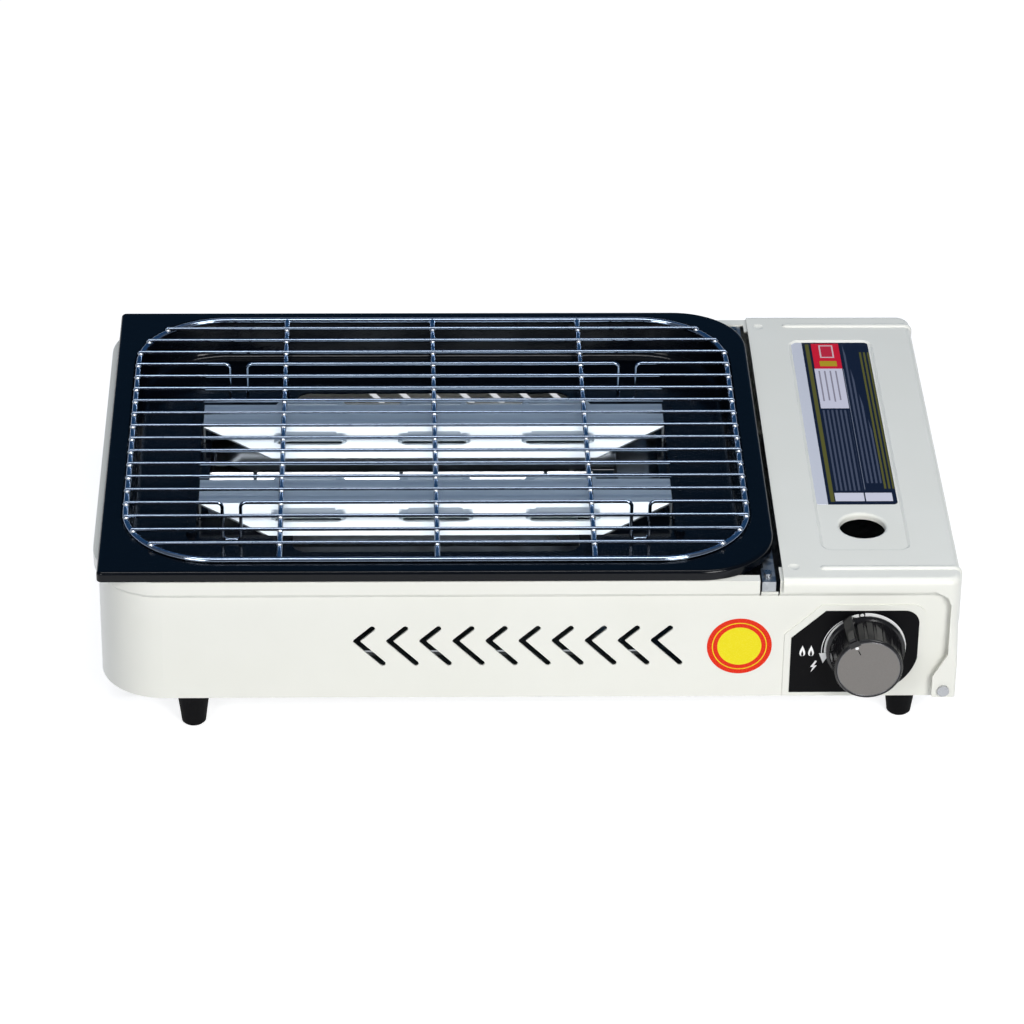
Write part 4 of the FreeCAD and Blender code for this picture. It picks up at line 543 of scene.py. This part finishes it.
seal_rubber = material("seal_rubber", {}, soft_rubber((0.02, 0.02, 0.02, 1.0), (0.04, 0.04, 0.04, 1.0), 0.0008))
lead_rubber = material("lead_rubber", {}, soft_rubber((0.45, 0.04, 0.03, 1.0), (0.60, 0.07, 0.05, 1.0), 0.002))
magnet = material("magnet", {"Metallic": 1.0}, nickel)
ceramic = material("ceramic", {"Coat Weight": 0.6, "Coat Roughness": 0.05}, glaze)
electrode_steel = material("electrode_steel", {"Metallic": 1.0}, scaled_steel)
dress(seal_rubber, "socket_seal")
dress(lead_rubber, "ignition_lead")
dress(magnet, "socket_magnets")
dress(ceramic, "electrode_insulator")
dress(electrode_steel, "electrode_pin")


# Fasteners: bright zinc plated screws, nuts and hinge rivets.
# Feet: matt black rubber, each held on by a screw.
def zinc_plate(place):
    haze = noise(place, 0.0015, 3.0)
    tone = blend(haze, (0.34, 0.35, 0.37, 1.0), (0.50, 0.51, 0.53, 1.0))
    return {"Base Color": tone, "Roughness": 0.2 + 0.18 * haze, "Normal": bump(haze, 0.008 * MM)}


zinc_screw = material("zinc_screw", {"Metallic": 1.0}, zinc_plate)
rubber = material("rubber", {"Specular IOR Level": 0.06},
                  soft_rubber((0.003, 0.003, 0.0035, 1.0), (0.009, 0.009, 0.010, 1.0), 0.0012))
dress(zinc_screw, "foot_screws", "foot_nuts", "partition_screws", "bracket_screws", "regulator_cap_screws",
      "hinge_rivets")
dress(rubber, "feet")


# Control plate: a thin black plate glued on the front wall, screen printed in white with a ring that shows
# how far the knob turns, two flames, a spark and a small round mark where the gas is off.
PRINT_THICK = 0.06 * MM
FLAME_W, FLAME_H = 4.5 * MM, 6.9 * MM


def sheet(outline, level, thick, facing):
    """Points and faces of a thin closed sheet: on a wall facing the front at Y level, or lying up at Z level.
    The outline is (across, up the wall) or (across, back), and the sheet stands proud by thick."""
    across, second = outline[:, 0], outline[:, 1]
    if np.sum(across * np.roll(second, -1) - np.roll(across, -1) * second) < 0:
        across, second = across[::-1], second[::-1]
    count = len(across)
    if facing == "front":
        back = np.column_stack([across, np.full(count, level), second])
        front = back - [0, thick, 0]
    else:
        back = np.column_stack([across, second, np.full(count, level)])
        front = back + [0, 0, thick]
    ring = np.arange(count)
    after = np.roll(ring, -1)
    sides = np.column_stack([ring, after, after + count, ring + count])
    ends = [tuple(ring[::-1].tolist()), tuple((ring + count).tolist())]
    return np.vstack([back, front]), ends + [tuple(side) for side in sides.tolist()]


def arc_band(centre, inner, outer, start, end, steps=60):
    """Outline of part of a ring, clockwise from the top in degrees: centre + radius * (sin a, cos a)."""
    a = np.radians(np.linspace(start, end, steps))
    round_way = np.column_stack([np.sin(a), np.cos(a)])
    inner, outer = np.broadcast_to(inner, steps)[:, None], np.broadcast_to(outer, steps)[:, None]
    return np.asarray(centre) + np.vstack([outer * round_way, (inner * round_way)[::-1]])


def disc(centre, radius, steps=40):
    """Outline of a round: centre + radius * (sin a, cos a)."""
    a = np.linspace(0, 2 * math.pi, steps, endpoint=False)
    return np.asarray(centre) + radius * np.column_stack([np.sin(a), np.cos(a)])


def flame(centre):
    """Outline of a drop with a smaller drop open at its foot, each (W sin a sin^1.6(a/2), H cos a) / 2."""
    a = np.linspace(0.02, math.pi - 0.22, 24)
    side = np.sin(a) * np.sin(a / 2) ** 1.6
    right = np.column_stack([FLAME_W / 2 * side, FLAME_H / 2 * np.cos(a)])
    inside = np.column_stack([0.42 * FLAME_W / 2 * side, 0.55 * FLAME_H / 2 * (np.cos(a) - 0.8)])[::-1]
    half = np.vstack([right, inside])
    return np.asarray(centre) + np.vstack([half, half[::-1] * [-1, 1]])


def spark(centre):
    """Outline of a lightning bolt."""
    zigzag = ((0.9, 3.7), (-1.7, -0.5), (-0.2, -0.4), (-1.3, -3.8), (1.9, 0.6), (0.3, 0.5), (1.9, 3.3))
    return np.asarray(centre) + np.array(zigzag) * MM


def printed_black(place):
    grain = noise(place, 0.0006, 3.0)
    tone = blend(grain, (0.002, 0.002, 0.0025, 1.0), (0.005, 0.005, 0.006, 1.0))
    return {"Base Color": tone, "Roughness": 0.3 + 0.12 * grain, "Normal": bump(grain, 0.004 * MM)}


def white_ink(place):
    grain = noise(place, 0.0005, 3.0)
    return {"Base Color": blend(grain, (0.94, 0.94, 0.94, 1.0), WHITE), "Roughness": 0.35 + 0.1 * grain}


black_label = material("black_label", {"Specular IOR Level": 0.06}, printed_black)
ink = material("white_ink", {}, white_ink)
dress(black_label, "control_plate")

plate_low, plate_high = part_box("control_plate")
KNOB_X, KNOB_Z = 413.5 * MM, 51.5 * MM
KNOB_AXIS = np.array([CORNER.x + KNOB_X, KNOB_Z])
ARC_MIDDLE = KNOB_AXIS + np.array([-0.1, 0.6]) * MM
MARK_OUT, MARK_TURN, MARK_R = 20.7 * MM, math.radians(-7.2), 1.05 * MM
mark = ARC_MIDDLE + MARK_OUT * np.array([math.sin(MARK_TURN), math.cos(MARK_TURN)])
# Inner radius at the start and the end, outer radius at the start and the end, start and end in degrees.
BANDS = ((21.6, 18.9, 21.9, 21.9, -24.0, -12.0), (18.7, 19.9, 22.0, 22.0, -2.6, 108.0),
         (19.7, 18.9, 22.3, 21.0, -98.0, -38.0), (23.5, 21.3, 23.9, 21.6, -98.0, -35.0))
ARROW = np.array([(-24.9, -2.9), (-18.6, -2.4), (-22.6, -9.2)]) * MM
FLAMES = np.array([(-33.9, -1.2), (-29.2, -1.2)]) * MM
SPARK = np.array([-27.6, -11.2]) * MM
prints = [arc_band(ARC_MIDDLE, np.linspace(inner_start, inner_end, 60) * MM,
                   np.linspace(outer_start, outer_end, 60) * MM, start, end)
          for inner_start, inner_end, outer_start, outer_end, start, end in BANDS]
prints += [KNOB_AXIS + ARROW, disc(mark, MARK_R), flame(KNOB_AXIS + FLAMES[0]), flame(KNOB_AXIS + FLAMES[1]),
           spark(KNOB_AXIS + SPARK)]
points, faces = joined([sheet(outline, plate_low.y, PRINT_THICK, "front") for outline in prints])
piece("control_print", points, faces, ink, "white_enamel", "chassis")


# Knob: glossy black moulded plastic with a grey lacquered disc let into its front.
# The disc has a white dot that shows the setting, and a short pressed line under it, drawn as a thin black
# strip: painted shade of the groove.
DOT_TURN = math.radians(-27.5)
DOT_OUT, DOT_R = 15.0 * MM, 0.95 * MM
LINE_START, LINE_END, LINE_HALF = 13.2 * MM, 10.2 * MM, 0.25 * MM


def glossy_plastic(place):
    cloud = noise(place, 0.004)
    tone = blend(cloud, (0.005, 0.005, 0.006, 1.0), (0.010, 0.010, 0.012, 1.0))
    return {"Base Color": tone, "Roughness": 0.12 + 0.1 * cloud, "Normal": bump(noise(place, 0.002), 0.01 * MM)}


def grey_lacquer(place):
    grain = noise(place, 0.0005, 3.0)
    tone = blend(grain, (0.165, 0.154, 0.145, 1.0), (0.21, 0.199, 0.19, 1.0))
    return {"Base Color": tone, "Roughness": 0.36 + 0.12 * grain, "Normal": bump(grain, 0.01 * MM)}


black_plastic = material("black_plastic", {"Specular IOR Level": 0.35, "Coat Weight": 0.08}, glossy_plastic)
grey_plastic = material("grey_plastic", {"Metallic": 0.3}, grey_lacquer)
dress(black_plastic, "control_knob", "piezo_igniter")
dress(grey_plastic, "knob_face")

face_low, face_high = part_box("knob_face")
toward_dot = np.array([math.sin(DOT_TURN), math.cos(DOT_TURN)])
dot = sheet(disc(KNOB_AXIS + DOT_OUT * toward_dot, DOT_R), face_low.y, PRINT_THICK, "front")
piece("knob_dot", *dot, ink, "white_enamel", "knob")
# The pressed line is a thin black strip: painted shade of its groove.
sideways = np.array([toward_dot[1], -toward_dot[0]]) * LINE_HALF
groove_shade_stroke = KNOB_AXIS + np.array([LINE_START * toward_dot + sideways, LINE_START * toward_dot - sideways,
                               LINE_END * toward_dot - sideways, LINE_END * toward_dot + sideways])
piece("knob_line", *sheet(groove_shade_stroke, face_low.y, PRINT_THICK, "front"), black_label, "black_label", "knob")


# Pointer: a fin of the same black plastic, moulded on the knob's side in line with the white dot.
# It is tall at the wall and low at the front. Its corners are (out from the axis, aside).
POINTER_TURN = math.radians(-28.0)
POINTER_BACK, POINTER_FRONT = 2.0 * MM, 21.3 * MM
FIN_BACK = ((16.0, 3.1), (23.8, 2.6), (23.8, -2.6), (16.0, -3.1))
FIN_FRONT = ((16.0, 3.0), (19.4, 2.7), (19.4, -2.7), (16.0, -3.0))
outward = np.array([math.sin(POINTER_TURN), math.cos(POINTER_TURN)])
beside_fin = np.array([outward[1], -outward[0]])
fin_points = []
for level, corners in ((plate_high.y - POINTER_BACK, FIN_BACK), (plate_high.y - POINTER_FRONT, FIN_FRONT)):
    for out, aside in corners:
        x, z = KNOB_AXIS + (out * outward + aside * beside_fin) * MM
        fin_points.append((x, level, z))
fin_faces = [(0, 1, 2, 3), (7, 6, 5, 4), (0, 4, 5, 1), (1, 5, 6, 2), (2, 6, 7, 3), (3, 7, 4, 0)]
piece("knob_pointer", fin_points, fin_faces, black_plastic, "black_plastic", "knob")


# Front of the knob: a rounded black rim round the grey disc, and the disc's own turned edge, nickel plated.
# Both are rings with a round section.
RIM_BACK, RIM_OUT, RIM_R = 0.9 * MM, 0.55 * MM, 0.85 * MM
EDGE_BACK, EDGE_IN, EDGE_R = 0.05 * MM, 0.25 * MM, 0.25 * MM


def ring_tube(centre, level, radius, thick, around=96, section=10):
    """Points and faces of a ring along Y: reach R + T cos b from the axis, at a height T sin b along it."""
    a = np.linspace(0, 2 * math.pi, around, endpoint=False)[:, None]
    b = np.linspace(0, 2 * math.pi, section, endpoint=False)[None, :]
    reach = radius + thick * np.cos(b)
    points = np.stack([centre[0] + reach * np.sin(a), level + thick * np.sin(b) + 0 * a,
                       centre[1] + reach * np.cos(a)], -1)
    index = np.arange(around * section).reshape(around, section)
    next_around, next_section = np.roll(index, -1, 0), np.roll(index, -1, 1)
    faces = np.stack([index, next_section, np.roll(next_around, -1, 1), next_around], -1).reshape(-1, 4)
    return points.reshape(-1, 3), [tuple(face) for face in faces.tolist()]


def turned_nickel(place):
    haze = noise(place, 0.001, 3.0)
    tone = blend(haze, (0.15, 0.15, 0.16, 1.0), (0.22, 0.22, 0.23, 1.0))
    return {"Base Color": tone, "Roughness": 0.18 + 0.1 * haze}


face_radius = (face_high.x - face_low.x) / 2
rim = piece("knob_rim", *ring_tube(KNOB_AXIS, face_low.y + RIM_BACK, face_radius + RIM_OUT, RIM_R),
            black_plastic, "black_plastic", "knob")
rim.data.shade_smooth()
turned_edge = material("turned_edge", {"Metallic": 1.0}, turned_nickel)
edge = piece("knob_face_edge", *ring_tube(KNOB_AXIS, face_low.y + EDGE_BACK, face_radius - EDGE_IN, EDGE_R),
             turned_edge, "zinc_screw", "knob")
edge.data.shade_smooth()


# Round sticker on the front wall between the vents and the knob: printed film, glued flat.
# It is plain: a red ring with a yellow hairline round a yellow middle.
STICKER_R = 17.5 * MM
STICKER_X, STICKER_Z = 345.5 * MM, 52.7 * MM
MIDDLE_R = 11.9 * MM
HAIRLINE = (14.3 * MM, 14.8 * MM)
STICKER_THICK = 0.15 * MM


def sticker_colours(place):
    across = along(place, 0) - (CORNER.x + STICKER_X)
    up = along(place, 2) - STICKER_Z
    radius = (across * across + up * up) ** 0.5
    grain = noise(place, 0.0006, 3.0)
    yellow = blend(grain, (0.88, 0.74, 0.008, 1.0), (0.92, 0.79, 0.015, 1.0))
    red = blend(grain, (0.76, 0.018, 0.0, 1.0), (0.82, 0.026, 0.002, 1.0))
    hairline = (radius > HAIRLINE[0]) * (radius < HAIRLINE[1])
    ring = blend(hairline, red, yellow)
    return {"Base Color": blend(radius > MIDDLE_R, yellow, ring), "Roughness": 0.22 + 0.1 * grain}


sticker = material("round_sticker", {"Specular IOR Level": 0.25}, sticker_colours)
wall_y = shell_low.y + BELT_OUT
round_outline = disc((CORNER.x + STICKER_X, STICKER_Z), STICKER_R, 96)
roundel = sheet(round_outline, wall_y, STICKER_THICK, "front")
piece("round_sticker", *roundel, sticker, "white_enamel", "chassis")


# Sticker in the cover's pressed recess: printed film, glued flat.
# A pale margin runs down its left, and then comes a navy field with plain blocks and thin bars.
LABEL_X0, LABEL_X1 = 391.6 * MM, 436.3 * MM
LABEL_Y0, LABEL_Y1 = 75.2 * MM, 258.6 * MM
FIELD_X0 = 397.9 * MM
LABEL_LEFT_R, LABEL_RIGHT_R = 1.5 * MM, 2.6 * MM
LABEL_THICK = 0.12 * MM
RECESS_DEEP = 0.9 * MM
RIB_UP = 1.0 * MM


def block(x, y, x0, x1, y0, y1):
    """1 inside a rectangle given in millimetres from the corner, 0 outside."""
    return (x > x0) * (x < x1) * (y > y0) * (y < y1)


def bars(x, y, x0, x1, pitch, width, low, high, spread, seed):
    """1 on thin bars along Y: their columns repeat at a pitch, and each starts in the spread above low."""
    column = ((x - x0) / pitch).math("FLOOR", (x - x0) / pitch)
    inside = ((x - x0) / pitch - column) < width / pitch
    chance = column.node("TexWhiteNoise", {"noise_dimensions": "1D"}, {"W": column + seed})
    return inside * block(x, y, x0, x1, low, high) * (y > low + spread * chance)


def label_colours(place):
    x = (along(place, 0) - CORNER.x) / MM
    y = (along(place, 1) - CORNER.y) / MM
    grain = noise(place, 0.0008, 3.0)
    navy = blend(grain, (0.004, 0.007, 0.022, 1.0), (0.009, 0.013, 0.034, 1.0))
    pale = blend(grain, (0.62, 0.64, 0.72, 1.0), (0.68, 0.70, 0.78, 1.0))
    slanting_end = y < 257.0 - 12.0 * (x - 421.2)
    grey_bars = bars(x, y, 403.6, 418.4, 2.45, 1.15, 90.0, 179.5, 0.0, 3.0)
    grey_bars = grey_bars + bars(x, y, 421.2, 429.6, 2.45, 1.15, 98.0, 257.0, 0.0, 11.0) * slanting_end
    olive_bars = block(x, y, 399.6, 401.8, 78.0, 256.5)
    olive_bars = olive_bars + bars(x, y, 430.4, 436.0, 2.3, 1.2, 92.0, 247.0, 0.0, 5.0)
    shade = blend(grey_bars, navy, (0.075, 0.088, 0.135, 1.0))
    shade = blend(olive_bars, shade, (0.12, 0.115, 0.018, 1.0))
    shade = blend(block(x, y, 419.4, 419.8, 91.0, 227.0), shade, (0.18, 0.20, 0.26, 1.0))
    shade = blend(block(x, y, 403.2, 419.2, 227.6, 257.4), shade, (0.72, 0.008, 0.03, 1.0))
    shade = blend(block(x, y, 407.4, 415.6, 240.4, 255.4), shade, (0.74, 0.55, 0.58, 1.0))
    shade = blend(block(x, y, 408.3, 414.7, 241.6, 254.2), shade, (0.60, 0.02, 0.05, 1.0))
    shade = blend(block(x, y, 406.6, 416.4, 230.5, 236.6), shade, (0.52, 0.36, 0.01, 1.0))
    shade = blend(block(x, y, 402.9, 419.0, 181.4, 227.6), shade, (0.70, 0.69, 0.80, 1.0))
    shade = blend(bars(x, y, 405.0, 417.0, 3.2, 0.9, 184.0, 225.0, 10.0, 7.0), shade, (0.30, 0.28, 0.34, 1.0))
    shade = blend(block(x, y, 402.3, 418.4, 78.6, 87.6) + block(x, y, 419.2, 434.0, 78.6, 87.6), shade,
                  (0.72, 0.72, 0.82, 1.0))
    return {"Base Color": blend(x > FIELD_X0 / MM, pale, shade), "Roughness": 0.26 + 0.1 * grain}


def rounded_box(x0, x1, y0, y1, left_r, right_r, steps=8):
    """Outline of a rectangle whose left and right corners are rounded by two radii."""
    quarter = np.linspace(0, math.pi / 2, steps)
    corners = ((x1 - right_r, y1 - right_r, right_r, 0), (x0 + left_r, y1 - left_r, left_r, 1),
               (x0 + left_r, y0 + left_r, left_r, 2), (x1 - right_r, y0 + right_r, right_r, 3))
    angles = [quarter + turn * math.pi / 2 for *_, turn in corners]
    return np.vstack([np.column_stack([x + r * np.cos(a), y + r * np.sin(a)])
                      for (x, y, r, _), a in zip(corners, angles)])


label_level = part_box("bay_cover")[1].z - RIB_UP - RECESS_DEEP
label_outline = rounded_box(CORNER.x + LABEL_X0, CORNER.x + LABEL_X1, CORNER.y + LABEL_Y0, CORNER.y + LABEL_Y1,
                            LABEL_LEFT_R, LABEL_RIGHT_R)
cover_label = material("cover_label", {"Specular IOR Level": 0.35}, label_colours)
label = sheet(label_outline, label_level, LABEL_THICK, "up")
piece("cover_label", *label, cover_label, "white_enamel", "cover")
